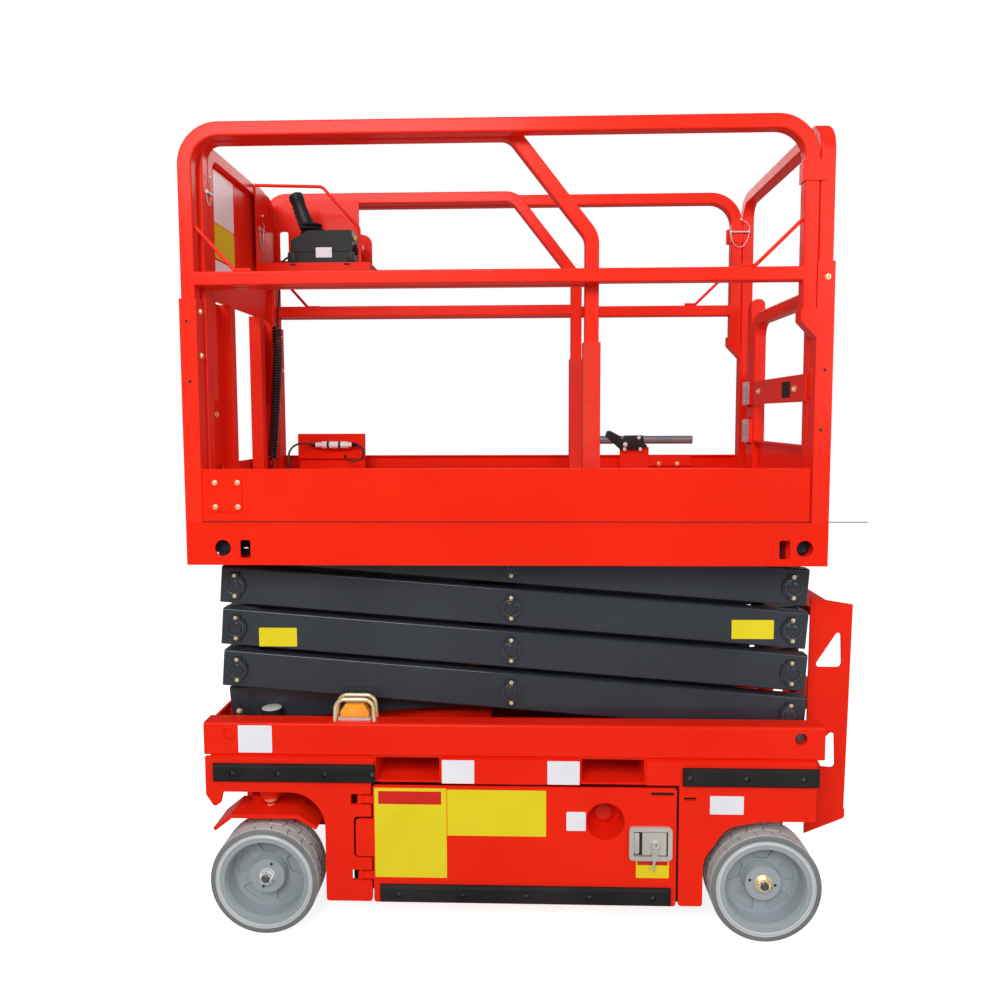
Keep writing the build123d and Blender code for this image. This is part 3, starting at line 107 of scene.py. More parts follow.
def build_coat(tree, entry, exit_):
    """Sprayed enamel: slight tone drift, orange peel, fine dust that dulls it."""
    link = tree.links.new
    place = position(tree)
    drift = noise(tree, 2.3, 2.0)
    link(place, drift.inputs["Vector"])
    lit = ranged(tree, drift.outputs["Fac"], 0.35, 0.65)
    tone = mixed(tree, lit, entry.outputs["Paint"], entry.outputs["Lit Paint"])
    dust = noise(tree, 60.0, 6.0, 0.7)
    link(place, dust.inputs["Vector"])
    dusty = maths(tree, "MULTIPLY", ranged(tree, dust.outputs["Fac"], 0.52, 0.75), entry.outputs["Dust"])
    link(mixed(tree, dusty, tone, (0.62, 0.55, 0.5)), exit_.inputs["Color"])
    gloss = ranged(tree, dust.outputs["Fac"], 0.35, 0.7, entry.outputs["Gloss Low"],
                   entry.outputs["Gloss High"])
    link(gloss, exit_.inputs["Roughness"])
    peel = noise(tree, entry.outputs["Peel Scale"], 2.0)
    link(place, peel.inputs["Vector"])
    link(peel.outputs["Fac"], exit_.inputs["Height"])


COLOR, NUMBER = "NodeSocketColor", "NodeSocketFloat"
OUTPUTS = [("Color", COLOR), ("Roughness", NUMBER), ("Height", NUMBER)]
SPRAYED_COAT = effect("Sprayed coat",
                      [("Paint", COLOR, (0.8, 0.03, 0.015, 1)), ("Lit Paint", COLOR, (0.85, 0.04, 0.02, 1)),
                       ("Dust", NUMBER, 0.03), ("Gloss Low", NUMBER, 0.18), ("Gloss High", NUMBER, 0.3),
                       ("Peel Scale", NUMBER, 160.0)], OUTPUTS, build_coat)


def build_grain(tree, entry, exit_):
    """Fine speckle in colour, roughness and height, for rubber, plastic and cast metal."""
    link = tree.links.new
    place = position(tree)
    fine = noise(tree, entry.outputs["Scale"], 5.0, 0.65)
    link(place, fine.inputs["Vector"])
    cloud = noise(tree, 9.0, 3.0)
    link(place, cloud.inputs["Vector"])
    worn = ranged(tree, cloud.outputs["Fac"], 0.35, 0.68)
    link(mixed(tree, worn, entry.outputs["Color"], entry.outputs["Worn Color"]), exit_.inputs["Color"])
    rough = ranged(tree, fine.outputs["Fac"], 0.3, 0.7, entry.outputs["Rough Low"],
                   entry.outputs["Rough High"])
    link(rough, exit_.inputs["Roughness"])
    link(fine.outputs["Fac"], exit_.inputs["Height"])


SPECKLE = effect("Speckle", [("Color", COLOR, (0.1, 0.1, 0.1, 1)),
                             ("Worn Color", COLOR, (0.12, 0.12, 0.12, 1)), ("Scale", NUMBER, 300.0),
                             ("Rough Low", NUMBER, 0.4), ("Rough High", NUMBER, 0.6)], OUTPUTS, build_grain)


BUMP_HEIGHT = 0.0004
SHADER_SOCKETS = {"coat": "Coat Weight", "coat_rough": "Coat Roughness", "specular": "Specular IOR Level",
                  "metallic": "Metallic"}


def finish(name, slot, group, values, bump, **shader):
    """A material, its slot argument not used: one Principled shader fed by an effect group set to this
    finish's values.
    """
    material = bpy.data.materials.new(name)
    material.use_nodes = True
    tree = material.node_tree
    link = tree.links.new
    principled = tree.nodes["Principled BSDF"]
    node = tree.nodes.new("ShaderNodeGroup")
    node.node_tree = group
    for label, value in values.items():
        node.inputs[label].default_value = (*value, 1.0) if isinstance(value, tuple) else value
    link(node.outputs["Color"], principled.inputs["Base Color"])
    link(node.outputs["Roughness"], principled.inputs["Roughness"])
    raise_ = tree.nodes.new("ShaderNodeBump")
    raise_.inputs["Strength"].default_value = bump
    raise_.inputs["Distance"].default_value = BUMP_HEIGHT
    link(node.outputs["Height"], raise_.inputs["Height"])
    link(raise_.outputs["Normal"], principled.inputs["Normal"])
    for label, value in shader.items():
        principled.inputs[SHADER_SOCKETS[label]].default_value = value
    return material


def enamel(name, slot, paint, lit_paint, gloss, dust, bump, **shader):
    """Sprayed paint; gloss is the lowest and highest roughness."""
    values = {"Paint": paint, "Lit Paint": lit_paint, "Gloss Low": gloss[0], "Gloss High": gloss[1],
              "Dust": dust}
    return finish(name, slot, SPRAYED_COAT, values, bump, **shader)


def speckled(name, slot, color, worn, scale, rough, bump, **shader):
    """Rubber, plastic, film or metal with a fine grain; rough is the lowest and highest roughness."""
    values = {"Color": color, "Worn Color": worn, "Scale": scale, "Rough Low": rough[0],
              "Rough High": rough[1]}
    return finish(name, slot, SPECKLE, values, bump, **shader)


RED = enamel("Red enamel", "red_paint", (0.84, 0.016, 0.0032), (0.9, 0.02, 0.004), (0.31, 0.35), 0.006, 0.03,
             coat=0.05, coat_rough=0.1, specular=0.1)
# painted light: a lighter copy of the red enamel for the rails, which catch more light
RAIL_RED_PAINTED_LIGHT = enamel("Red enamel painted lighter on the rails", "red_paint", (0.86, 0.021, 0.007), (0.92, 0.027, 0.01),
                  (0.29, 0.33), 0.006, 0.03, coat=0.08, coat_rough=0.12, specular=0.12)
DECK_RED = enamel("Red enamel, dulled deck", "red_paint", (0.72, 0.024, 0.012), (0.78, 0.03, 0.014),
                  (0.35, 0.55), 0.02, 0.12, specular=0.25)
ARM_GREY = enamel("Dark blue-grey enamel", "dark_paint", (0.026, 0.03, 0.038), (0.034, 0.039, 0.048),
                  (0.16, 0.26), 0.008, 0.08, coat=0.2, coat_rough=0.05, specular=0.25)
RUBBER = speckled("Black rubber", "rubber", (0.012, 0.012, 0.013), (0.024, 0.022, 0.022), 420.0, (0.5, 0.75),
                  0.3, specular=0.15)
# painted light: the tyre rubber set lighter to make up for the shade on the tread; the wall below is a darker
# copy
TYRE = speckled("Grey tyre rubber", "tyre_grey", (0.5, 0.5, 0.49), (0.6, 0.6, 0.59), 260.0, (0.6, 0.85), 0.25,
                specular=0.25)
RIM_GREY = enamel("Wheel enamel", "wheel_grey", (0.31, 0.35, 0.37), (0.36, 0.405, 0.43), (0.25, 0.42), 0.06,
                  0.1, coat=0.15, specular=0.3)
STEEL = speckled("Turned steel", "bare_steel", (0.62, 0.62, 0.63), (0.76, 0.76, 0.76), 500.0, (0.25, 0.42),
                 0.15, metallic=0.5)
ZINC_GOLD = speckled("Yellow zinc plate", "zinc_gold", (0.92, 0.7, 0.34), (0.98, 0.86, 0.6), 140.0,
                     (0.22, 0.4), 0.1, metallic=0.6)
# painted shade: a darker copy of the tyre rubber on the side wall; its lighter mottling is wear
TYRE_WALL_SHADE = speckled("Scuffed tyre wall, painted darker as shade", "tyre_grey", (0.15, 0.16, 0.165), (0.22, 0.23, 0.235), 260.0,
                     (0.5, 0.7), 0.2)
# painted highlight: a lighter copy of the wheel enamel on the rim's lip, where its edge catches the light
RIM_LIP_HIGHLIGHT = enamel("Rim lip with painted highlight", "wheel_grey", (0.52, 0.57, 0.6), (0.6, 0.65, 0.68), (0.18, 0.3), 0.04, 0.05)
DARK_STEEL = speckled("Blackened steel", "bare_steel", (0.1, 0.1, 0.11), (0.18, 0.18, 0.19), 300.0,
                      (0.3, 0.5), 0.1, metallic=0.8)
GALVANISED = speckled("Galvanised bar", "bare_steel", (0.2, 0.26, 0.3), (0.3, 0.36, 0.4), 90.0, (0.3, 0.45),
                      0.1, metallic=0.4)
LATCH_GREY = speckled("Cast latch metal", "bare_steel", (0.55, 0.52, 0.47), (0.66, 0.64, 0.59), 380.0,
                      (0.35, 0.55), 0.2, metallic=0.35)
BLACK = speckled("Black moulded plastic", "black_plastic", (0.016, 0.016, 0.018), (0.024, 0.024, 0.027),
                 600.0, (0.32, 0.5), 0.2, specular=0.2)
CORD_BLACK = speckled("Black cord jacket", "rubber", (0.014, 0.013, 0.014), (0.022, 0.02, 0.02), 350.0,
                      (0.3, 0.45), 0.1)
AMBER = speckled("Amber lens", "amber", (0.95, 0.3, 0.01), (1.0, 0.42, 0.03), 90.0, (0.12, 0.22), 0.1,
                 coat=0.8)
STOP_RED = speckled("Red push button", "red_plastic", (0.62, 0.012, 0.01), (0.7, 0.02, 0.012), 200.0,
                    (0.3, 0.4), 0.1, specular=0.2)
PALE = speckled("Pale clear plastic", "bare_steel", (0.74, 0.74, 0.73), (0.86, 0.86, 0.86), 120.0,
                (0.15, 0.3), 0.1)
WHITE_FILM = speckled("White film", "clear_plastic", (0.8, 0.8, 0.84), (0.86, 0.86, 0.9), 500.0, (0.3, 0.4),
                      0.05, specular=0.2)
# painted light: a brighter copy of the white film for the panel's labels, which sit in shade
PANEL_FILM_PAINTED_LIGHT = speckled("White film painted brighter on the panel", "clear_plastic", (0.95, 0.93, 0.98), (0.98, 0.96, 1.0),
                      500.0, (0.3, 0.4), 0.05)
YELLOW_FILM = speckled("Yellow film", "clear_plastic", (0.78, 0.64, 0.014), (0.82, 0.68, 0.02), 500.0,
                       (0.3, 0.4), 0.05, specular=0.2)
RED_FILM = speckled("Red film", "clear_plastic", (0.62, 0.016, 0.012), (0.68, 0.02, 0.014), 500.0, (0.3, 0.4),
                    0.05, specular=0.2)
# painted shade: near black, for pieces put in holes, gaps, slots and seams where there is only shade
PAINTED_SHADE = speckled("Painted shade in recesses", "black_plastic", (0.006, 0.005, 0.005), (0.012, 0.01, 0.01), 300.0,
                     (0.6, 0.8), 0.1)

NODE_FINISHES = (
    (RED, "chassis_frame side_plates front_axle ladder door_near door_far knuckle_near knuckle_far"),
    (RED, "platform_deck toe_boards control_bracket junction_box"),
    (RAIL_RED_PAINTED_LIGHT, "corner_posts side_rails rear_rail gate extension_rails slide_lock"),
    (DECK_RED, "extension_deck"),
    (RUBBER, "bumper_strips door_near_bumper door_far_bumper rest_pads"),
    (ARM_GREY, "rear_axle hydraulic_unit lift_barrel"),
    (STEEL, "lift_rod steer_rod"),
    (ZINC_GOLD, "beacon_guard"),
    (AMBER, "beacon_lamp"),
    (LATCH_GREY, "door_near_latch door_far_latch"),
    (STOP_RED, "stop_button"),
    (BLACK, "control_box joystick battery_pack"),
    (PALE, "cord_plug"),
)
FINISH_OF = {name: material for material, names in NODE_FINISHES for name in names.split()}
GROUP_FINISHES = (("outer_arm", ARM_GREY), ("inner_arm", ARM_GREY), ("tyre", TYRE), ("rim", RIM_GREY),
                  ("cord", CORD_BLACK))
for name, node in NODES.items():
    if name not in FINISH_OF:
        FINISH_OF[name] = next(material for start, material in GROUP_FINISHES if name.startswith(start))
    node.data.materials.clear()
    node.data.materials.append(FINISH_OF[name])

# ---------------- camera
scene = bpy.context.scene
camera = bpy.data.objects.new("Camera", bpy.data.cameras.new("Camera"))
scene.collection.objects.link(camera)
scene.camera = camera
yaw, pitch, roll = math.radians(-1.7418), math.radians(4.0119), math.radians(-0.1921)
ahead = Vector((math.sin(yaw) * math.cos(pitch), math.cos(yaw) * math.cos(pitch), -math.sin(pitch)))
level_right = Vector((math.cos(yaw), -math.sin(yaw), 0))
level_up = level_right.cross(ahead)
right = level_right * math.cos(roll) + level_up * math.sin(roll)
up = right.cross(ahead)
camera.matrix_world = Matrix(((right.x, up.x, -ahead.x, -0.014), (right.y, up.y, -ahead.y, -2.4005),
                              (right.z, up.z, -ahead.z, 1.4528), (0, 0, 0, 1)))
camera.data.sensor_width = 36.0
camera.data.lens = 27.3625
camera.data.shift_y = -0.0302
camera.data.clip_start = 0.05

# ---------------- cords
JACKET_R = 0.0035
COIL_R, COIL_PITCH = 0.014, 0.01
POINTS_PER_TURN = 14
OPENING_TURNS = 1.5         # turns over which the coil opens and closes
DRAWN_OUT = 4               # extra reach of a turn that isn't open yet


def nurbs_line(name, points, radius=0.0, steps=3):
    """Smooth curve with these points as its control points."""
    curve = bpy.data.curves.new(name, "CURVE")
    curve.dimensions = "3D"
    curve.bevel_depth = radius
    curve.bevel_resolution = 2
    curve.use_fill_caps = radius > 0
    spline = curve.splines.new("NURBS")
    spline.points.add(len(points) - 1)
    for control, point in zip(spline.points, points):
        control.co = (*point, 1.0)
    spline.order_u = 3
    spline.use_endpoint_u = True
    spline.resolution_u = steps
    item = bpy.data.objects.new(name, curve)
    scene.collection.objects.link(item)
    return item


def points_along(route):
    """Points of the smooth line through a route, in order."""
    item = nurbs_line("Route", route, steps=24)
    mesh = bpy.data.meshes.new_from_object(item)
    points = [vertex.co.copy() for vertex in mesh.vertices]
    bpy.data.meshes.remove(mesh)
    bpy.data.objects.remove(item)
    return points


def length_of(points):
    return sum((b - a).length for a, b in zip(points, points[1:]))


def helix_along(points):
    """Turns around a line, opening from it at the top and closing to it at the bottom."""
    total = length_of(points)
    count = round(total / COIL_PITCH) * POINTS_PER_TURN

    def opened(k):
        share = min(1.0, k / POINTS_PER_TURN / OPENING_TURNS, (count - k) / POINTS_PER_TURN / OPENING_TURNS)
        return share * share * (3 - 2 * share)

    advance = [1 + DRAWN_OUT * (1 - opened(k + 0.5)) for k in range(count)]
    reached = 0.0
    distances = [0.0]
    for a, b in zip(points, points[1:]):
        distances.append(distances[-1] + (b - a).length)
    turns, side, segment = [], None, 0
    for k in range(count + 1):
        reach = min(total * reached / sum(advance), total - 1e-6)
        reached += advance[min(k, count - 1)]
        while segment < len(points) - 2 and distances[segment + 1] < reach:
            segment += 1
        a, b = points[segment], points[segment + 1]
        along = (b - a).normalized()
        centre = a + along * (reach - distances[segment])
        side = along.orthogonal() if side is None else side - along * side.dot(along)
        side.normalize()
        other = along.cross(side)
        angle = 2 * math.pi * k / POINTS_PER_TURN
        turns.append(centre + (side * math.cos(angle) + other * math.sin(angle)) * COIL_R * opened(k))
    return turns


LEAD = ((-0.77, 0.165, 1.992), (-0.79, 0.165, 1.992), (-0.815, 0.165, 1.978), (-0.829, 0.165, 1.953),
        (-0.832, 0.168, 1.925), (-0.835, 0.176, 1.88), (-0.842, 0.186, 1.835), (-0.851, 0.195, 1.79),
        (-0.856, 0.2, 1.748))
COIL = ((-0.856, 0.2, 1.748), (-0.851, 0.2, 1.69), (-0.858, 0.2, 1.58), (-0.869, 0.2, 1.44),
        (-0.882, 0.2, 1.3))
TAIL = ((-0.882, 0.2, 1.3), (-0.883, 0.2, 1.277), (-0.87, 0.201, 1.258), (-0.848, 0.203, 1.254),
        (-0.829, 0.205, 1.266), (-0.825, 0.208, 1.29), (-0.829, 0.212, 1.316), (-0.824, 0.219, 1.342),
        (-0.804, 0.231, 1.36), (-0.776, 0.246, 1.361), (-0.745, 0.262, 1.355))
END_LEAD = ((-0.617, 0.262, 1.355), (-0.594, 0.262, 1.355), (-0.577, 0.262, 1.341), (-0.575, 0.261, 1.318),
            (-0.59, 0.259, 1.301), (-0.612, 0.257, 1.296), (-0.633, 0.257, 1.303), (-0.645, 0.265, 1.315),
            (-0.646, 0.284, 1.316))

route = points_along(LEAD + COIL[1:] + TAIL[1:])
top, bottom = [min(range(len(route)), key=lambda k: (route[k] - Vector(spot)).length)
               for spot in (LEAD[-2], TAIL[1])]
curls = helix_along(route[top:bottom + 1])
curly_points = [*LEAD[:-2], *[tuple(point) for point in curls], *TAIL[2:]]
curly_cord = nurbs_line("curly_cord", curly_points, JACKET_R)
box_lead = nurbs_line("box_lead", END_LEAD, JACKET_R, 12)
for cord in (curly_cord, box_lead):
    cord.data.materials.append(CORD_BLACK)
    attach(cord, "extension")
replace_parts(curly_cord, "cord_lead", "cord_coil", "cord_tail")
length_of(points_along(curly_points))
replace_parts(box_lead, "cord_end")
length_of(points_along(END_LEAD))


# ---------------- floor and light
def backdrop_material(name, lit, shade):
    """White to the camera and through glass; plain diffuse to everything else."""
    material = bpy.data.materials.new(name)
    material.use_nodes = True
    tree = material.node_tree
    link = tree.links.new
    tree.nodes.remove(tree.nodes["Principled BSDF"])
    out = tree.nodes["Material Output"]
    diffuse = tree.nodes.new("ShaderNodeBsdfDiffuse")
    diffuse.inputs["Color"].default_value = (*shade, 1.0)
    glow = tree.nodes.new("ShaderNodeEmission")
    glow.inputs["Strength"].default_value = lit
    path = tree.nodes.new("ShaderNodeLightPath")
    seen = maths(tree, "MAXIMUM", path.outputs["Is Camera Ray"], path.outputs["Is Transmission Ray"])
    add = tree.nodes.new("ShaderNodeAddShader")
    mix = tree.nodes.new("ShaderNodeMixShader")
    link(seen, mix.inputs[0])
    link(diffuse.outputs[0], mix.inputs[1])
    link(diffuse.outputs[0], add.inputs[0])
    link(glow.outputs[0], add.inputs[1])
    link(add.outputs[0], mix.inputs[2])
    link(mix.outputs[0], out.inputs["Surface"])
    return material


FLOOR_HALF = 40.0
floor_mesh = bpy.data.meshes.new("Floor")
floor_mesh.from_pydata([(x * FLOOR_HALF, y * FLOOR_HALF, 0) for x, y in ((-1, -1), (1, -1), (1, 1), (-1, 1))],
                       [], [(0, 1, 2, 3)])
floor = bpy.data.objects.new("Floor", floor_mesh)
scene.collection.objects.link(floor)
floor.location.z = -0.0005
floor.data.materials.append(backdrop_material("Floor paint", 0.84, (0.52, 0.52, 0.52)))

scene.view_settings.view_transform = "Standard"
world = bpy.data.worlds.new("Studio")
scene.world = world
world.use_nodes = True
sky = world.node_tree
background = sky.nodes["Background"]
path = sky.nodes.new("ShaderNodeLightPath")
seen = maths(sky, "MAXIMUM", path.outputs["Is Camera Ray"], path.outputs["Is Transmission Ray"])
dim = ranged(sky, path.outputs["Is Glossy Ray"], 0.0, 1.0, 0.37, 0.15)
level = ranged(sky, seen, 0.0, 1.0, dim, 1.0)
sky.links.new(level, background.inputs["Strength"])
background.inputs["Color"].default_value = (1, 1, 1, 1)


def lamp(name, place, aim, size, power):
    data = bpy.data.lights.new(name, "AREA")
    data.shape = "RECTANGLE"
    data.size, data.size_y = size
    data.energy = power
    item = bpy.data.objects.new(name, data)
    item.location = place
    item.rotation_euler = (Vector(aim) - Vector(place)).to_track_quat("-Z", "Y").to_euler()
    scene.collection.objects.link(item)


lamp("Front softbox", (-1.4, -4.8, 4.3), (0, 0, 1.25), (3.0, 2.4), 222)
lamp("Right softbox", (3.0, -3.8, 2.6), (0, 0, 1.0), (2.0, 2.6), 55)
lamp("Back softbox", (0.6, 4.4, 4.0), (0, 0, 1.3), (3.4, 2.0), 60)


# ---------------- making pieces
CORNER_STEPS = 5
NEAR, FRONT, REAR, TOP = (0, -1, 0), (-1, 0, 0), (1, 0, 0), (0, 0, 1)
ACROSS = (0, 1, 0)


def frame_at(origin, normal, up=TOP):
    """Matrix whose z axis is the normal and whose y axis is as near up as it can be."""
    z = Vector(normal).normalized()
    x = Vector(up).cross(z)
    x = x.normalized() if x.length > 1e-6 else Vector((1, 0, 0))
    matrix = Matrix((x, z.cross(x), z)).transposed().to_4x4()
    matrix.translation = Vector(origin)
    return matrix


def ring_of(bm, matrix, radius, height, steps, turn):
    """Corners of a ring about the matrix's z axis, or its centre where the radius is nothing."""
    if radius < 1e-7:
        return [bm.verts.new(matrix @ Vector((0, 0, height)))]
    angles = [turn + 2 * math.pi * k / steps for k in range(steps)]
    return [bm.verts.new(matrix @ Vector((radius * math.cos(a), radius * math.sin(a), height)))
            for a in angles]


def turned(bm, profile, matrix, steps=32, turn=0.0):
    """Turn (radius, height) points about the matrix's z axis."""
    rings = [ring_of(bm, matrix, r, h, steps, turn) for r, h in profile]
    for a, b in zip(rings, rings[1:]):
        for k in range(steps):
            j = (k + 1) % steps
            if len(a) == 1 and len(b) > 1:
                bm.faces.new((a[0], b[k], b[j]))
            elif len(b) == 1 and len(a) > 1:
                bm.faces.new((a[j], a[k], b[0]))
            elif len(a) > 1:
                bm.faces.new((a[k], b[k], b[j], a[j]))


def disc(bm, radius, low, high, matrix, steps):
    turned(bm, ((0, low), (radius, low), (radius, high), (0, high)), matrix, steps)


def slab(bm, outline, low, high, matrix, soften=0.0):
    """Prism over a flat outline of (x, y) points, its upper rim softened."""
    bottom = [bm.verts.new(matrix @ Vector((x, y, low))) for x, y in outline]
    top = [bm.verts.new(matrix @ Vector((x, y, high))) for x, y in outline]
    bm.faces.new(list(reversed(bottom)))
    lid = bm.faces.new(top)
    for k in range(len(outline)):
        j = (k + 1) % len(outline)
        bm.faces.new((bottom[k], bottom[j], top[j], top[k]))
    if soften:
        bmesh.ops.bevel(bm, geom=list(lid.edges), offset=soften, segments=2, affect="EDGES", profile=0.5)


def round_rect(width, height, radius):
    """Outline of a rectangle with rounded corners."""
    points = []
    for sx, sy, start in ((1, 1, 0), (-1, 1, 90), (-1, -1, 180), (1, -1, 270)):
        cx, cy = sx * (width / 2 - radius), sy * (height / 2 - radius)
        for k in range(CORNER_STEPS + 1):
            a = math.radians(start + 90 * k / CORNER_STEPS)
            points.append((cx + radius * math.cos(a), cy + radius * math.sin(a)))
    return points


def wire(bm, points, radius, steps=8):
    """Round bar that follows a list of points."""
    points = [Vector(p) for p in points]
    side = None
    rings = []
    for k, point in enumerate(points):
        along = (points[min(k + 1, len(points) - 1)] - points[max(k - 1, 0)]).normalized()
        if side is None:
            side = along.orthogonal().normalized()
        side = (side - along * side.dot(along)).normalized()
        other = along.cross(side)
        angles = [2 * math.pi * i / steps for i in range(steps)]
        rings.append([bm.verts.new(point + (side * math.cos(a) + other * math.sin(a)) * radius)
                      for a in angles])
    for a, b in zip(rings, rings[1:]):
        for i in range(steps):
            j = (i + 1) % steps
            bm.faces.new((a[i], a[j], b[j], b[i]))
    bm.faces.new(list(reversed(rings[0])))
    bm.faces.new(rings[-1])


def arc_points(matrix, radius, start, stop, steps):
    """Points on an arc about the matrix's z axis, from one angle to another in degrees."""
    angles = [math.radians(start + (stop - start) * k / steps) for k in range(steps + 1)]
    return [matrix @ Vector((radius * math.cos(a), radius * math.sin(a), 0)) for a in angles]


def piece(name, bm, material, body, sharp=35.0):
    """Close a bmesh into an object that rides on a body; edges sharper than this stay sharp."""
    bmesh.ops.remove_doubles(bm, verts=bm.verts, dist=1e-6)
    bmesh.ops.recalc_face_normals(bm, faces=bm.faces)
    for edge in bm.edges:
        edge.smooth = len(edge.link_faces) == 2 and edge.calc_face_angle(0) < math.radians(sharp)
    for face in bm.faces:
        face.smooth = True
    mesh = bpy.data.meshes.new(name)
    bm.to_mesh(mesh)
    bm.free()
    mesh.materials.append(material)
    item = bpy.data.objects.new(name, mesh)
    scene.collection.objects.link(item)
    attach(item, body)
    return item


def plate(name, size, radius, low, high, matrix, material, body, soften=0.0):
    """A plate with rounded corners, as a piece of its own."""
    bm = bmesh.new()
    slab(bm, round_rect(*size, radius), low, high, matrix, soften)
    return piece(name, bm, material, body)


# ---------------- fasteners
def hex_screw(bm, place, normal, across, height):
    """Washer, hexagon head with a rounded crown, and the screw's end."""
    m = frame_at(place, normal)
    turned(bm, ((0, 0), (across * 0.78, 0), (across * 0.78, 0.0012), (across * 0.5, 0.0014), (0, 0.0014)), m,
           24)
    r = across / math.sqrt(3)
    turned(bm, ((r, 0.0013), (r, height * 0.8), (r * 0.88, height), (0, height)), m, 6, math.radians(15))
    turned(bm, ((across * 0.27, height - 0.0002), (across * 0.27, height + 0.0012), (0, height + 0.0016)), m,
           16)


def socket_screw(bm, place, normal, radius, height):
    """Domed head with a sunk hexagon socket."""
    m = frame_at(place, normal)
    turned(bm, ((0, 0), (radius * 1.3, 0), (radius * 1.3, 0.001), (radius, 0.0012),
                (radius * 0.94, height * 0.55), (radius * 0.72, height * 0.9), (radius * 0.45, height)), m,
                24)
    turned(bm, ((radius * 0.45, height), (radius * 0.42, height * 0.45), (0, height * 0.45)), m, 6)


def both_sides(places):
    """The same places on the near and the far side, with the outward direction of each."""
    return [((x, side * y, z), (0, side, 0)) for side in (-1, 1) for x, y, z in places]


# pivot pins of the outer arms: retaining ring, end disc, two tabs with a screw each
LIFT_PIN_X = {"front": -0.832, "middle": -0.048, "rear": 0.736}
LOWEST_PIN_Z, LEVEL_RISE = 0.612, 0.1215
ARM_FACE = 0.298
TAB_OUTLINE = ((-0.012, -0.036), (0.012, -0.036), (0.016, -0.02), (0.016, 0.02), (0.012, 0.036),
               (-0.012, 0.036), (-0.016, 0.02), (-0.016, -0.02))
TAB_SCREW_Y = 0.0295
RING_R, RING_SPAN = 0.0225, 318
for level in range(1, 5):
    body = f"outer_arm_{level}"
    low = LOWEST_PIN_Z + LEVEL_RISE * (level - 1)
    heights = {"front": low + LEVEL_RISE, "middle": low + LEVEL_RISE / 2, "rear": low}
    bolts, rings, tabs = bmesh.new(), bmesh.new(), bmesh.new()
    for spot, x in LIFT_PIN_X.items():
        if level == 4 and spot == "front":
            continue
        for place, out in both_sides([(x, ARM_FACE, heights[spot])]):
            m = frame_at(place, out)
            slab(tabs, TAB_OUTLINE, -0.004, 0.0012, m, 0.0006)
            turned(tabs, ((0.0165, 0), (0.0165, 0.0034), (0.015, 0.0044), (0.0062, 0.0044), (0.005, 0.0026),
                          (0, 0.0026)), m, 32)
            for y in (-TAB_SCREW_Y, TAB_SCREW_Y):
                socket_screw(bolts, m @ Vector((0, y, 0.0012)), out, 0.0043, 0.0044)
            gap = 100 if spot == "front" else 80
            wire(rings, arc_points(m @ Matrix.Translation((0, 0, 0.0022)), RING_R, gap, gap + RING_SPAN, 40),
                 0.0013)
    piece(f"arm_pin_tabs_{level}", tabs, ARM_GREY, body)
    piece(f"arm_pin_rings_{level}", rings, DARK_STEEL, body)
    piece(f"arm_pin_screws_{level}", bolts, ZINC_GOLD, body)

# kingpin bushings
FRONT_WHEEL_X, REAR_WHEEL_X = -0.742, 0.653
KINGPIN_Y, KINGPIN_Z = 0.3, 0.353
for side_name, side in (("near", -1), ("far", 1)):
    bm = bmesh.new()
    m = frame_at((FRONT_WHEEL_X, side * KINGPIN_Y, KINGPIN_Z), TOP, ACROSS)
    turned(bm, ((0.0095, 0.0002), (0.0172, 0.0002), (0.0184, 0.0014), (0.0184, 0.0046), (0.0178, 0.0052),
                (0.0184, 0.0058), (0.0184, 0.0135), (0.0095, 0.0135)), m, 40)
    turned(bm, ((0.0088, -0.0145), (0.0112, -0.0145), (0.0112, -0.0105), (0.0088, -0.0105)), m, 6)
    piece(f"kingpin_bushing_{side_name}", bm, ZINC_GOLD, f"knuckle_{side_name}")


# ---------------- wheels
WHEEL_R, GROOVE_R = 0.1525, 0.144
WHEEL_Y, HUB_Y = 0.325, 0.347
TREAD_BLOCKS = 20
BLOCK_SHARE = 0.472         # half a block, as a share of the step from one block to the next
BLOCK_EDGE = 0.0012
# rows of blocks: from, to, slant, shift by steps
TREAD_ROWS = ((-0.0452, -0.018, 0.035, 0), (-0.015, 0.015, -0.05, 0.5), (0.018, 0.0452, 0.035, 0))
# sections about the axle: radius, distance from the wheel's middle plane
TYRE_SECTION = ((0.1262, -0.0495), (0.13, -0.05), (0.144, -0.05), (0.15, -0.0492), (0.152, -0.0474),
                (0.1524, -0.0455), (0.1464, -0.045), (0.1464, 0.045), (0.1524, 0.0455), (0.152, 0.0474),
                (0.15, 0.0492), (0.144, 0.05), (0.1372, 0.05), (0.134, 0.0486), (0.1325, 0.0492),
                (0.1295, 0.05), (0.1262, 0.0495), (0.1262, -0.0495))
POCKET_FLOOR_SECTION = ((0.056, -0.0092), (0.103, -0.0092), (0.103, -0.011), (0.056, -0.011),
                        (0.056, -0.0092))
WALL_SECTION = ((0.1375, 0.049), (0.1375, 0.0503), (0.144, 0.0504), (0.1498, 0.0496), (0.1514, 0.0482),
                (0.15, 0.048), (0.1375, 0.049))
LIP_SECTION = ((0.1258, 0.048), (0.1258, 0.0502), (0.1268, 0.0508), (0.13, 0.0508), (0.131, 0.05),
               (0.131, 0.048), (0.1258, 0.048))
HUB_BOSSES = {"front": ((0.013, 0.036), (-0.011, -0.03)), "rear": ((-0.037, 0.01), (0.033, -0.004))}
NUT_TURN = 0.3


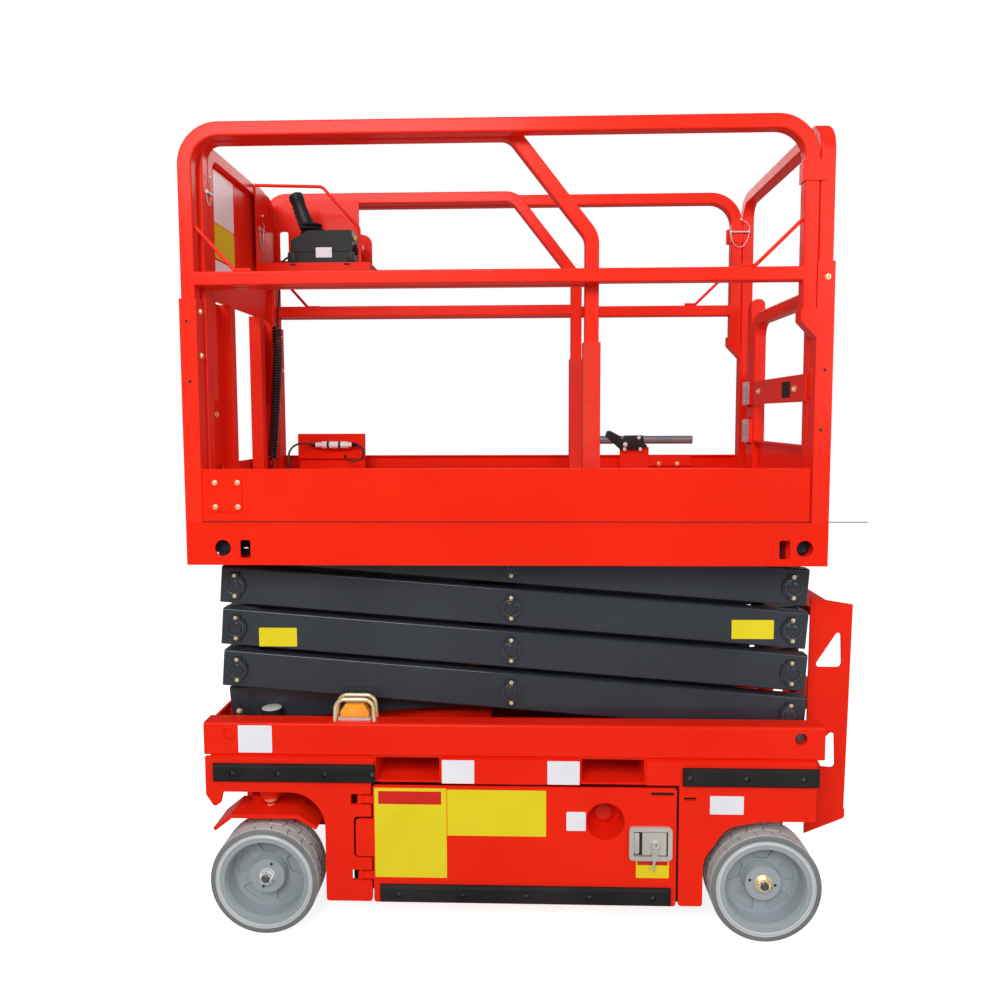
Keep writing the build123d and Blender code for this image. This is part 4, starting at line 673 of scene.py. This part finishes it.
def tread_block(bm, m, turn, half_angle, low_y, high_y, slant):
    """One raised block of the tread: an arched lozenge, its ends slanting, its crown rounded."""
    columns = 5
    rows = []
    for i in range(columns):
        f = i / (columns - 1) * 2 - 1
        row = []
        for y, shift in ((low_y, 0), ((low_y + high_y) / 2, slant), (high_y, 0)):
            angle = turn + f * half_angle + shift
            for radius in (GROOVE_R, WHEEL_R):
                edge = BLOCK_EDGE if radius == WHEEL_R else 0
                squeezed = angle - math.copysign(edge / WHEEL_R, f) if abs(f) == 1 else angle
                inset = edge if y == low_y else -edge if y == high_y else 0
                row.append(bm.verts.new(m @ Vector((radius * math.cos(squeezed), radius * math.sin(squeezed),
                                                    y + inset))))
        rows.append(row)
    for a, b in zip(rows, rows[1:]):
        for i, j in ((1, 3), (3, 5), (0, 1), (5, 4)):
            bm.faces.new((a[i], b[i], b[j], a[j]))
    for row in (rows[0], rows[-1]):
        bm.faces.new((row[0], row[1], row[3], row[2]))
        bm.faces.new((row[2], row[3], row[5], row[4]))


for place, x in (("front", FRONT_WHEEL_X), ("rear", REAR_WHEEL_X)):
    for side_name, side in (("near", -1), ("far", 1)):
        end = f"{place}_{side_name}"
        body = f"wheel_{end}"
        m = frame_at((x, side * WHEEL_Y, WHEEL_R), (0, side, 0))
        tyre = bmesh.new()
        turned(tyre, TYRE_SECTION, m, 96)
        step = 2 * math.pi / TREAD_BLOCKS
        for k in range(TREAD_BLOCKS):
            for low_y, high_y, slant, shift in TREAD_ROWS:
                tread_block(tyre, m, step * (k + shift), step * BLOCK_SHARE, low_y, high_y, slant)
        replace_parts(piece(f"tyre_tread_{end}", tyre, TYRE, body, 28.0), f"tyre_{end}")
        for name, section, steps, material in (("rim_pocket_floor", POCKET_FLOOR_SECTION, 72, RIM_GREY),
                                               # the tyre wall's darker rubber is painted shade
                                               ("tyre_wall_shade", WALL_SECTION, 96, TYRE_WALL_SHADE),
                                               # the rim lip's lighter enamel is a painted highlight
                                               ("rim_lip_highlight", LIP_SECTION, 96, RIM_LIP_HIGHLIGHT)):
            bm = bmesh.new()
            turned(bm, section, m, steps)
            piece(f"{name}_{end}", bm, material, body)
        # castle nut on the shaft end, its split pin, and the hub's two threaded bosses with painted shade in
        # their holes
        nut, steel, hole_shade, bosses = bmesh.new(), bmesh.new(), bmesh.new(), bmesh.new()
        hub = frame_at((x, side * HUB_Y, WHEEL_R), (0, side, 0))
        turned(nut, ((0, 0), (0.0215, 0), (0.0225, 0.0012), (0.0225, 0.009), (0.0205, 0.0104), (0, 0.0104)),
               hub, 6, NUT_TURN)
        turned(nut, ((0.0245, 0), (0.0245, 0.0014), (0, 0.0014)), hub, 32)
        for k in range(6):
            a = NUT_TURN + math.pi * (2 * k + 1) / 6
            tooth = hub @ Matrix.Rotation(a, 4, "Z") @ Matrix.Translation((0.0142, 0, 0))
            slab(nut, [(-0.0032, -0.0052), (0.0036, -0.0052), (0.0036, 0.0052), (-0.0032, 0.0052)], 0.01,
                 0.0158, tooth, 0.0006)
        turned(steel, ((0, 0.002), (0.0104, 0.002), (0.0104, 0.0176), (0.0092, 0.0188), (0.0024, 0.0188),
                       (0, 0.0166)), hub, 32)
        split_pin = ((-0.017, 0.002, 0.0135), (0, 0.001, 0.0135), (0.016, -0.001, 0.0135),
                     (0.02, -0.006, 0.0138))
        wire(steel, [hub @ Vector(p) for p in split_pin], 0.0014)
        for bx, by in HUB_BOSSES[place]:
            boss = hub @ Matrix.Translation((bx, by, 0))
            turned(bosses, ((0.0082, 0), (0.0082, 0.001), (0.007, 0.0016), (0.004, 0.0016)), boss, 24)
            turned(hole_shade, ((0.0041, 0), (0.0041, 0.0017), (0, 0.0009)), boss, 16)
        piece(f"hub_nut_{end}", nut, ZINC_GOLD if place == "rear" else STEEL, body)
        piece(f"hub_bosses_{end}", bosses, RIM_GREY, body)
        piece(f"hub_shaft_end_{end}", steel, DARK_STEEL, body)
        piece(f"hub_hole_shade_{end}", hole_shade, PAINTED_SHADE, body)


# ---------------- blank labels and coloured bands
FILM = 0.0004
# faces that carry the films: beam, side plates, doors, outer arms, control box, front panel
BEAM_Y, PLATE_Y, DOOR_Y, ARM_Y, BOX_Y, PANEL_X = -0.3602, -0.3662, -0.3682, -0.2902, 0.0998, -0.8968
HEADER_Y = DOOR_Y - FILM    # a header film lies on the film below it


def film(name, material, body, normal, x, z, depth, radius=0.002):
    """Thin film on an upright face; x is its span along the face and z its heights."""
    middle, height = (x[0] + x[1]) / 2, (z[0] + z[1]) / 2
    place = (middle, depth, height) if abs(normal[1]) else (depth, middle, height)
    plate(f"blank_label_{name}", (x[1] - x[0], z[1] - z[0]), radius, 0, FILM, frame_at(place, normal),
          material, body)


film("heading", WHITE_FILM, "chassis", NEAR, (-0.8095, -0.7145), (0.519, 0.597), BEAM_Y)
film("front_fork", WHITE_FILM, "chassis", NEAR, (-0.2395, -0.15), (0.4395, 0.506), PLATE_Y)
film("rear_fork", WHITE_FILM, "chassis", NEAR, (0.052, 0.1405), (0.4395, 0.506), PLATE_Y)
film("rear", WHITE_FILM, "chassis", NEAR, (0.498, 0.59), (0.36, 0.412), PLATE_Y)
film("large", YELLOW_FILM, "door_near", NEAR, (-0.4285, -0.2275), (0.168, 0.4255), DOOR_Y)
film("large_header", RED_FILM, "door_near", NEAR, (-0.4175, -0.242), (0.3795, 0.4165), HEADER_Y, 0.001)
film("wide", YELLOW_FILM, "door_near", NEAR, (-0.2255, 0.0485), (0.291, 0.4225), DOOR_Y, 0.001)
film("below_latch", YELLOW_FILM, "door_near", NEAR, (0.297, 0.3875), (0.1765, 0.227), DOOR_Y, 0.0015)
film("below_latch_header", RED_FILM, "door_near", NEAR, (0.3005, 0.384), (0.2135, 0.2245), HEADER_Y, 0.0008)
film("beside_cup", WHITE_FILM, "door_near", NEAR, (0.1045, 0.158), (0.309, 0.363), DOOR_Y, 0.003)
film("arm_front", YELLOW_FILM, "outer_arm_2", NEAR, (-0.768, -0.659), (0.8, 0.854), ARM_Y)
film("arm_rear", YELLOW_FILM, "outer_arm_3", NEAR, (0.569, 0.686), (0.829, 0.883), ARM_Y)
for name, material, z in (("upper", PANEL_FILM_PAINTED_LIGHT, (2.012, 2.16)), ("middle", YELLOW_FILM, (1.911, 2.01)),
                          ("lower", PANEL_FILM_PAINTED_LIGHT, (1.868, 1.905))):
    film(f"panel_{name}", material, "extension", REAR, (-0.207, -0.058), z, PANEL_X)
film("box", WHITE_FILM, "extension", NEAR, (-0.6882, -0.6355), (1.9715, 2.004), BOX_Y, 0.001)

# ---------------- screws of the chassis and doors
BUMPER_FLOOR = 0.374        # floor of the sunk holes in the strips
BUMPER_SCREW = (0.0052, 0.0042)
bm = bmesh.new()
for x in (-0.8227, -0.6941, -0.5635, -0.4335, 0.4395, 0.5932, 0.7479):
    for place, out in both_sides([(x, BUMPER_FLOOR, 0.466)]):
        socket_screw(bm, place, out, *BUMPER_SCREW)
piece("bumper_screws", bm, DARK_STEEL, "chassis")
for body, side in (("door_near", -1), ("door_far", 1)):
    bm = bmesh.new()
    for x in (-0.3625, -0.1836, -0.0074, 0.1686, 0.342):
        socket_screw(bm, (x, side * BUMPER_FLOOR, 0.124), (0, side, 0), *BUMPER_SCREW)
    piece(f"{body}_bumper_screws", bm, DARK_STEEL, body)

# painted shade: dark sheets inside the gaps beside the doors and behind the slots
SHADE_SHEET_HALF = 0.0012
LATCH_GAP_Y, HINGE_GAP_Y = 0.3538, 0.315
bm = bmesh.new()
for side in (-1, 1):
    for x, y, low, high, width in ((0.4105, LATCH_GAP_Y, 0.1, 0.43, 0.029),
                                   (-0.46, HINGE_GAP_Y, 0.1, 0.44, 0.08)):
        m = frame_at((x, side * y, (low + high) / 2), (0, side, 0))
        slab(bm, round_rect(width, high - low, 0.002), -SHADE_SHEET_HALF, SHADE_SHEET_HALF, m)
for place, out in both_sides([(0.4445, LATCH_GAP_Y, 0.402)]):
    slab(bm, round_rect(0.038, 0.016, 0.002), -SHADE_SHEET_HALF, SHADE_SHEET_HALF, frame_at(place, out))
piece("gap_shade", bm, PAINTED_SHADE, "chassis")

# light crowns of the rest pads
bm = bmesh.new()
for place, _ in both_sides([(-0.744, 0.268, 0.6118)]):
    turned(bm, ((0, 0), (0.0272, 0), (0.0278, 0.0006), (0.0268, 0.0012), (0, 0.0014)),
           frame_at(place, TOP, ACROSS), 40)
piece("rest_pad_crowns", bm, TYRE, "chassis")

# beam ends: recessed plug at the front, open ring in the rear hole
BEAM_HOLE_Z = 0.571
plug, rings = bmesh.new(), bmesh.new()
for place, out in both_sides([(-0.8345, 0.3572, BEAM_HOLE_Z)]):
    turned(plug, ((0, 0), (0.008, 0), (0.0088, 0.001), (0.015, 0.001), (0.0165, 0), (0.0165, -0.004)),
           frame_at(place, out), 32)
piece("beam_plugs", plug, RED, "chassis")
for place, out in both_sides([(0.744, 0.356, BEAM_HOLE_Z)]):
    m = frame_at(place, out)
    disc(rings, 0.015, -0.012, -0.01, m, 24)
    wire(rings, arc_points(m @ Matrix.Translation((0, 0, -0.006)), 0.009, 0, 348, 24), 0.0014)
piece("beam_rings", rings, DARK_STEEL, "chassis")

# hexagon fitting with its black cap, on the near beam
bm, cap = bmesh.new(), bmesh.new()
m = frame_at((-0.833, -0.285, 0.6045), TOP, ACROSS)
disc(bm, 0.0088, 0, 0.007, m, 6)
turned(bm, ((0.006, 0.0068), (0.006, 0.013), (0.005, 0.0145), (0, 0.0145)), m, 24)
turned(cap, ((0.0066, 0.013), (0.0084, 0.0138), (0.0084, 0.0205), (0.0066, 0.0225), (0, 0.0228)), m, 24)
piece("beam_fitting", bm, ZINC_GOLD, "chassis")
piece("beam_fitting_cap", cap, BLACK, "chassis")

# flush latch of each door: lock barrel with its keyway, paddle lip, painted shade in the keyway, on the
# well's floor and in the gaps beside the paddle, and rim screws; the key is in the near one
LATCH_Z = 0.2775
WELL_Y = 0.3418             # floor of the latch's well
KEY_HALF = 0.0007           # half the key's thickness
for body, side in (("door_near", -1), ("door_far", 1)):
    out = (0, side, 0)
    metal, latch_shade = bmesh.new(), bmesh.new()
    m = frame_at((0.35, side * 0.3766, 0.2755), out)
    turned(metal, ((0.0128, -0.004), (0.0128, 0.0012), (0.0112, 0.0026), (0.0085, 0.0026), (0.008, 0.0014),
                   (0, 0.0014)), m, 32)
    slab(latch_shade, round_rect(0.0022, 0.0085, 0.0009), 0.0013, 0.0017, m)
    lip = frame_at((0.2975, side * 0.37, LATCH_Z), out)
    slab(metal, round_rect(0.015, 0.06, 0.003), -0.004, 0.0016, lip, 0.0008)
    for x in (0.308, 0.38):
        slab(latch_shade, round_rect(0.005, 0.066, 0.001), 0, 0.029, frame_at((x, side * 0.3422, LATCH_Z), out))
    # painted shade behind the door's slot
    plate(f"{body}_slot_shade", (0.076, 0.022), 0.003, 0, 0.0022,
          frame_at((0.3685, side * 0.359, 0.416), out), PAINTED_SHADE, body)
    slab(latch_shade, round_rect(0.092, 0.069, 0.004), 0, 0.0006, frame_at((0.336, side * WELL_Y, LATCH_Z), out))
    for x, z in ((0.284, 0.236), (0.388, 0.236), (0.284, 0.319), (0.388, 0.319)):
        turned(metal, ((0, 0), (0.0034, 0), (0.0028, 0.0012), (0, 0.0014)),
               frame_at((x, side * 0.377, z), out), 16)
    piece(f"{body}_lock", metal, LATCH_GREY, body)
    piece(f"{body}_lock_shade", latch_shade, PAINTED_SHADE, body)
    if side < 0:
        keys = bmesh.new()
        wire(keys, arc_points(frame_at((0.349, -0.3779, 0.258), (0.04, -1, 0)), 0.0115, 95, 445, 30), 0.0008,
             6)
        blade = frame_at((0.346, -0.3781, 0.232), (0.03, -1, 0.01), (0.12, 0, 1))
        turned(keys, ((0.004, -KEY_HALF), (0.0105, -KEY_HALF), (0.0105, KEY_HALF), (0.004, KEY_HALF),
                      (0.004, -KEY_HALF)), blade @ Matrix.Translation((0, 0.008, 0)), 24)
        slab(keys, [(-0.0032, -0.029), (0, -0.031), (0.003, -0.028), (0.0036, -0.001), (-0.0036, -0.001)],
             -KEY_HALF, KEY_HALF, blade)
        piece("lock_key", keys, LATCH_GREY, body)

# ---------------- screws of the platform
bm = bmesh.new()
for place, out in both_sides([(x, 0.3715, z) for x in (-0.8498, -0.788) for z in (1.2768, 1.2106)]):
    socket_screw(bm, place, out, 0.0056, 0.0042)
for place, out in both_sides([(0.778, 0.3725, 1.812)]):
    socket_screw(bm, place, out, 0.0058, 0.0042)
for side in (-1, 1):
    for z in (1.7375, 1.62):
        hex_screw(bm, (-0.8858, side * 0.348, z), (1, 0, 0), 0.011, 0.005)
piece("platform_screws", bm, ZINC_GOLD, "platform")
# painted shade: dark discs in the holes of the posts
bm = bmesh.new()
post_hole_shade = ((-0.913, 1.71), (-0.908, 1.55), (0.776, 1.572), (0.77, 1.414))
for place, out in both_sides([(x, 0.3726, z) for x, z in post_hole_shade]):
    disc(bm, 0.0038, 0, 0.0005, frame_at(place, out), 24)
piece("post_hole_shade", bm, PAINTED_SHADE, "platform")
bm = bmesh.new()
for y in (-0.19, 0.148):
    hex_screw(bm, (-0.9135, y, 1.461), (1, 0, 0), 0.012, 0.006)
piece("front_plate_screws", bm, ZINC_GOLD, "extension")

# painted shadow line along the seam between skirt and toe board, pin seen in the skirt's slot, steel edge on
# the front post
bm = bmesh.new()
for place, out in both_sides([(0, 0.3686, 1.1695)]):
    slab(bm, round_rect(1.8, 0.0022, 0.0005), -0.0002, 0.0006, frame_at(place, out))
piece("skirt_seam_shadow", bm, PAINTED_SHADE, "platform")
bm = bmesh.new()
for side in (-1, 1):
    wire(bm, [(x, side * 0.364, 1.0967) for x in (-0.776, -0.764)], 0.0014)
    wire(bm, [(-0.885, side * y, z) for y, z in ((0.3111, 1.796), (0.3045, 1.64), (0.2981, 1.48))], 0.0019)
piece("platform_edges", bm, STEEL, "platform")
plate("toe_board_end", (0.024, 0.07), 0.001, -0.001, 0.001, frame_at((0.749, 0.3632, 1.276), NEAR), RED,
      "platform")
plate("front_post_web", (0.06, 0.19), 0.002, -0.0015, 0.0015, frame_at((-0.915, 0.27, 1.405), FRONT), RED,
      "extension")

# end pins of the top arms, behind the access holes of the skirt, each with a disc of painted shade behind it
for body, x in (("outer_arm_4", LIFT_PIN_X["front"]), ("inner_arm_4", LIFT_PIN_X["rear"])):
    caps, pin_shade = bmesh.new(), bmesh.new()
    for place, out in both_sides([(x, 0.344, LOWEST_PIN_Z + 4 * LEVEL_RISE)]):
        m = frame_at(place, out)
        turned(caps, ((0, 0), (0.0178, 0), (0.0178, 0.0032), (0.0162, 0.0046), (0.007, 0.0046),
                      (0.006, 0.003), (0, 0.003)), m, 32)
        disc(pin_shade, 0.024, -0.006, -0.0048, m, 32)
        turned(caps, ((0.0125, 0.004), (0.0136, 0.0054), (0.0125, 0.0062), (0.0114, 0.0054), (0.0125, 0.004)),
               m, 32)
    piece(f"top_pin_caps_{body}", caps, BLACK, body)
    piece(f"top_pin_shade_{body}", pin_shade, PAINTED_SHADE, body)

# ---------------- gate and its latch
GATE_X = 0.745
HINGE_Z = (1.363, 1.489)
HINGE_MIDDLE = 0.039


def hinge_leaf(bm, place, width, rivet_x, rivets):
    """Riveted leaf of a gate hinge, on the tube's inner face."""
    leaf = frame_at(place, FRONT)
    slab(bm, round_rect(width, 0.076, 0.003), -0.0002, 0.0016, leaf, 0.0005)
    for rise in rivets:
        turned(bm, ((0, 0), (0.0042, 0), (0.0034, 0.0016), (0, 0.002)),
               leaf @ Matrix.Translation((rivet_x, rise, 0.0016)), 16)


bm = bmesh.new()
for z in HINGE_Z:
    for low, high in ((0, 0.024), (0.027, 0.051), (0.054, 0.078)):
        h = high - low
        turned(bm, ((0.0056, 0), (0.0066, 0.0006), (0.0066, h - 0.0006), (0.0056, h), (0.0056, 0)),
               frame_at((0.742, 0.1975, z + low), TOP, ACROSS), 24)
    hinge_leaf(bm, (0.7388, 0.18, z + HINGE_MIDDLE), 0.026, -0.003, (-0.026, 0.026))
piece("gate_spring_hinges", bm, STEEL, "gate")
bm = bmesh.new()
for z in HINGE_Z:
    hinge_leaf(bm, (0.738, 0.2205, z + HINGE_MIDDLE), 0.028, 0.003, (-0.026, 0, 0.026))
piece("gate_post_hinge_leaves", bm, STEEL, "platform")
bm = bmesh.new()
for y, z in ((0.0815, 1.53), (-0.2405, 1.526)):
    hex_screw(bm, (GATE_X, y, z), FRONT, 0.014, 0.007)
piece("gate_latch_screws", bm, ZINC_GOLD, "gate")
# painted shade in the latch's window
plate("gate_latch_window_shade", (0.069, 0.046), 0.003, 0, 0.0006, frame_at((GATE_X, -0.1705, 1.527), FRONT),
      PAINTED_SHADE, "gate")
plate("gate_keeper", (0.034, 0.078), 0.004, -0.0005, 0.0022, frame_at((0.7525, -0.336, 1.54), FRONT),
      RAIL_RED_PAINTED_LIGHT, "platform", 0.0008)


# ---------------- pins on wire loops
LOOP_STEPS = 18


def ring_pin(name, body, place, axis, span, loop):
    """Pin across a tube, and the wire loop that hangs from its two ends."""
    bm = bmesh.new()
    middle, along = Vector(place), Vector(axis).normalized()
    start, end = middle - along * span / 2, middle + along * span / 2
    wire(bm, [start, middle, end], 0.0032, 12)
    for tip in (start, end):
        turned(bm, ((0, -0.003), (0.0048, -0.003), (0.0056, 0), (0.0048, 0.003), (0, 0.003)),
               frame_at(tip, axis), 20)
    angles = [math.pi * k / LOOP_STEPS for k in range(LOOP_STEPS + 1)]
    wire(bm, [middle + along * (-span / 2 * math.cos(a)) + Vector((0, 0, -loop * math.sin(a)))
              for a in angles], 0.0011, 6)
    # short lanyard up to its rivet
    rivet = middle + Vector((0.004, 0.002, 0.044))
    wire(bm, [end, end + Vector((0.004, 0, 0.014)), end + Vector((-0.004, 0, 0.03)), rivet], 0.0009, 6)
    turned(bm, ((0, 0), (0.0042, 0), (0.003, 0.0022), (0, 0.0026)), frame_at(rivet, NEAR), 16)
    piece(name, bm, STEEL, body)


ring_pin("ring_pin_rear_far", "platform", (0.742, 0.3235, 2.092), REAR, 0.062, 0.052)
ring_pin("ring_pin_front_near", "extension", (-0.8765, -0.288, 2.068), ACROSS, 0.03, 0.032)
ring_pin("ring_pin_front_far", "extension", (-0.8745, 0.128, 2.07), ACROSS, 0.036, 0.06)

# ---------------- slide lock on the far toe board
LOCK_BAR_R, LOCK_BAR_LENGTH = 0.0155, 0.328
LOCK_BAR_Y, LOCK_STRIP_Y = 0.345, 0.35
HANDLE_OUTLINE = ((-0.02, 0.018), (-0.014, 0.034), (-0.003, 0.035), (0.034, 0.015), (0.04, 0),
                  (0.034, -0.033), (0.002, -0.004))
CLAMP_OUTLINE = ((-0.047, -0.019), (-0.044, 0.012), (-0.029, 0.0315), (0.014, 0.032), (0.03, 0.032),
                 (0.037, 0.019), (0.037, 0.001), (0.049, -0.002), (0.047, -0.012), (0.03, -0.014),
                 (0.014, -0.02))
black, rivets, bar, bolts = bmesh.new(), bmesh.new(), bmesh.new(), bmesh.new()
slab(black, HANDLE_OUTLINE, -0.006, 0.007, frame_at((0.3, 0.33, 1.366), NEAR), 0.002)
slab(black, CLAMP_OUTLINE, -0.004, 0.0042, frame_at((0.38, 0.329, 1.352), NEAR), 0.0015)
slab(black, round_rect(0.066, 0.033, 0.003), 0, 0.0012, frame_at((0.3835, 0.344, 1.3822), TOP, ACROSS))
piece("slide_lock_handle", black, BLACK, "platform")
for x, z, r in ((0.3507, 1.3519, 0.008), (0.3988, 1.376, 0.0065)):
    turned(rivets, ((0, 0), (r, 0), (r, 0.003), (r * 0.7, 0.0046), (0, 0.005)),
           frame_at((x, 0.3245, z), NEAR), 24)
for x in (0.3481, 0.4035):
    slab(rivets, round_rect(0.01, 0.012, 0.002), 0, 0.004, frame_at((x, 0.325, 1.335), NEAR), 0.001)
piece("slide_lock_rivets", rivets, PALE, "platform")
# round bar, open along its top
angles = [math.radians(a) for a in range(-150, 330, 15) if not 60 < a % 360 < 120]
slab(bar, [(LOCK_BAR_R * math.cos(a), LOCK_BAR_R * math.sin(a)) for a in angles], 0, LOCK_BAR_LENGTH,
     frame_at((0.263, LOCK_BAR_Y, 1.3685), REAR))
piece("slide_lock_bar", bar, GALVANISED, "platform")
for x in (0.4755, 0.5404):
    socket_screw(bolts, (x, LOCK_STRIP_Y, 1.281), NEAR, 0.0062, 0.005)
piece("slide_lock_screws", bolts, ZINC_GOLD, "platform")

# ---------------- beacon
BEACON_X, BEACON_Y = -0.4875, -0.324
BEAM_TOP = 0.604
BASE_HEIGHT = 0.0065
HOOP_X, HOOP_R, HOOP_WIRE_R = -0.486, 0.027, 0.0056
LENS_OUTLINE = ((-0.041, 0), (0.041, 0), (0.041, 0.017), (0.026, 0.04), (-0.026, 0.04), (-0.041, 0.017))
LENS_RAISED = ((-0.03, 0.004), (0.03, 0.004), (0.03, 0.015), (0.02, 0.031), (-0.02, 0.031), (-0.03, 0.015))
lens, guard = bmesh.new(), bmesh.new()
lens_frame = frame_at((BEACON_X, BEACON_Y, BEAM_TOP + BASE_HEIGHT), NEAR)
slab(lens, LENS_OUTLINE, -0.012, 0.012, lens_frame, 0.004)
slab(lens, LENS_RAISED, 0.0118, 0.0135, lens_frame, 0.0012)
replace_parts(piece("beacon_lens", lens, AMBER, "chassis"), "beacon_lamp")
plate("beacon_base", (0.094, 0.03), 0.004, 0, BASE_HEIGHT,
      Matrix.Translation((BEACON_X, BEACON_Y, BEAM_TOP + 0.0003)), STEEL, "chassis", 0.001)
for y in (-0.3415, -0.3065):
    hoop = frame_at((HOOP_X, y, BEAM_TOP), NEAR)
    path = [hoop @ Vector(p) for p in ((-0.0555, 0.0003, 0), (-0.054, 0.025, 0))]
    path += arc_points(hoop @ Matrix.Translation((-0.0265, 0.035, 0)), HOOP_R, 175, 90, 8)
    path += arc_points(hoop @ Matrix.Translation((0.0265, 0.035, 0)), HOOP_R, 90, 5, 8)
    path += [hoop @ Vector(p) for p in ((0.054, 0.025, 0), (0.0555, 0.0003, 0))]
    wire(guard, path, HOOP_WIRE_R, 14)
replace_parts(piece("beacon_hoops", guard, ZINC_GOLD, "chassis"), "beacon_guard")

# ---------------- control station
LEAN = math.radians(-20)
STICK_X, STICK_Y = -0.716, 0.165
GRIP_NARROWING = 0.82
FINGER_RIDGES = 6
STOP_AT = (-0.569, 0.152, 2.006)
BOOT_SECTION = ((0, 0), (0.0385, 0), (0.0395, 0.003), (0.033, 0.007), (0.0285, 0.0095), (0.0385, 0.014),
                (0.039, 0.017), (0.03, 0.0215), (0.0262, 0.024), (0.0335, 0.029), (0.0338, 0.032),
                (0.025, 0.037), (0, 0.038))
GRIP_SECTION = ((0, 0.034), (0.0225, 0.036), (0.0245, 0.046), (0.0235, 0.066), (0.0215, 0.09),
                (0.0205, 0.112), (0.0215, 0.128), (0.024, 0.136), (0.0245, 0.15), (0.0225, 0.158),
                (0.0165, 0.1615), (0, 0.162))
GLAND_SECTION = ((0.0105, 0.005), (0.0105, 0.008), (0.0085, 0.0115), (0.0075, 0.0115), (0.0075, 0.0135),
                 (0.0062, 0.0135), (0.0062, 0.0165), (0.0052, 0.0165), (0.0044, 0.0225), (0.0036, 0.0225))
BUTTON_SECTION = ((0, 0.0075), (0.0095, 0.0075), (0.0095, 0.014), (0.0165, 0.0165), (0.0175, 0.02),
                  (0.015, 0.0245), (0.007, 0.0268), (0, 0.0272))
stick = Matrix.Translation((STICK_X, STICK_Y, 2.041)) @ Matrix.Rotation(LEAN, 4, "Y")
grip = bmesh.new()
turned(grip, BOOT_SECTION, Matrix.Translation((STICK_X, STICK_Y, 2.0595)), 48)
turned(grip, GRIP_SECTION, stick @ Matrix.Scale(GRIP_NARROWING, 4, ACROSS), 40)
slab(grip, round_rect(0.018, 0.018, 0.004), 0, 0.006, stick @ Matrix.Translation((0, 0, 0.1585)), 0.002)
for k in range(FINGER_RIDGES):
    slab(grip, round_rect(0.0065, 0.022, 0.002), 0.05 + 0.013 * k, 0.058 + 0.013 * k,
         stick @ Matrix.Translation((-0.0225 + 0.0004 * k, 0, 0)), 0.001)
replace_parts(piece("joystick_grip", grip, BLACK, "extension"), "joystick")

trim = bmesh.new()
for x in (-0.766, -0.573):
    slab(trim, round_rect(0.026, 0.034, 0.004), 0, 0.006, frame_at((x, 0.1002, 1.9715), NEAR), 0.002)
for x, width in ((-0.726, 0.073), (-0.6045, 0.056)):
    slab(trim, round_rect(width, 0.006, 0.0025), 0, 0.002, frame_at((x, 0.1002, 1.9925), NEAR), 0.0008)
gland = frame_at(LEAD[0], FRONT)
disc(trim, 0.0125, -0.002, 0.006, gland, 6)
turned(trim, GLAND_SECTION, gland, 32)
turned(trim, ((0, 0), (0.0175, 0), (0.0175, 0.006), (0.015, 0.008), (0, 0.008)), frame_at(STOP_AT, REAR), 32)
piece("control_box_trim", trim, BLACK, "extension")
bm = bmesh.new()
turned(bm, BUTTON_SECTION, frame_at(STOP_AT, REAR), 32)
piece("station_stop_button", bm, STOP_RED, "extension")
plate("station_switch", (0.022, 0.013), 0.003, 0, 0.006, frame_at((-0.569, 0.13, 2.037), REAR), YELLOW_FILM,
      "extension", 0.0015)
# painted shade in the tray's slots
bm = bmesh.new()
for x in (-0.76, -0.583):
    slab(bm, round_rect(0.02, 0.006, 0.0028), 0, 0.0005, frame_at((x, 0.0849, 1.9465), NEAR))
piece("tray_slot_shade", bm, PAINTED_SHADE, "extension")

# strain reliefs of the plug, and its lighter rings
PLUG_Y, PLUG_Z = 0.262, 1.355
RELIEF_SECTION = ((0, -0.001), (0.0088, -0.001), (0.008, 0.004), (0.0068, 0.004), (0.0066, 0.009),
                  (0.0056, 0.009), (0.0054, 0.014), (0.0046, 0.014), (0.004, 0.02), (0.0036, 0.02))
reliefs, rings = bmesh.new(), bmesh.new()
for x, out in ((-0.745, FRONT), (-0.617, REAR)):
    turned(reliefs, RELIEF_SECTION, frame_at((x, PLUG_Y, PLUG_Z), out), 24)
for x in (-0.7, -0.66):
    turned(rings, ((0.0125, -0.004), (0.0132, -0.003), (0.0132, 0.003), (0.0125, 0.004)),
           frame_at((x, PLUG_Y, PLUG_Z), REAR), 32)
piece("plug_reliefs", reliefs, RUBBER, "extension")
piece("plug_rings", rings, CORD_BLACK, "extension")
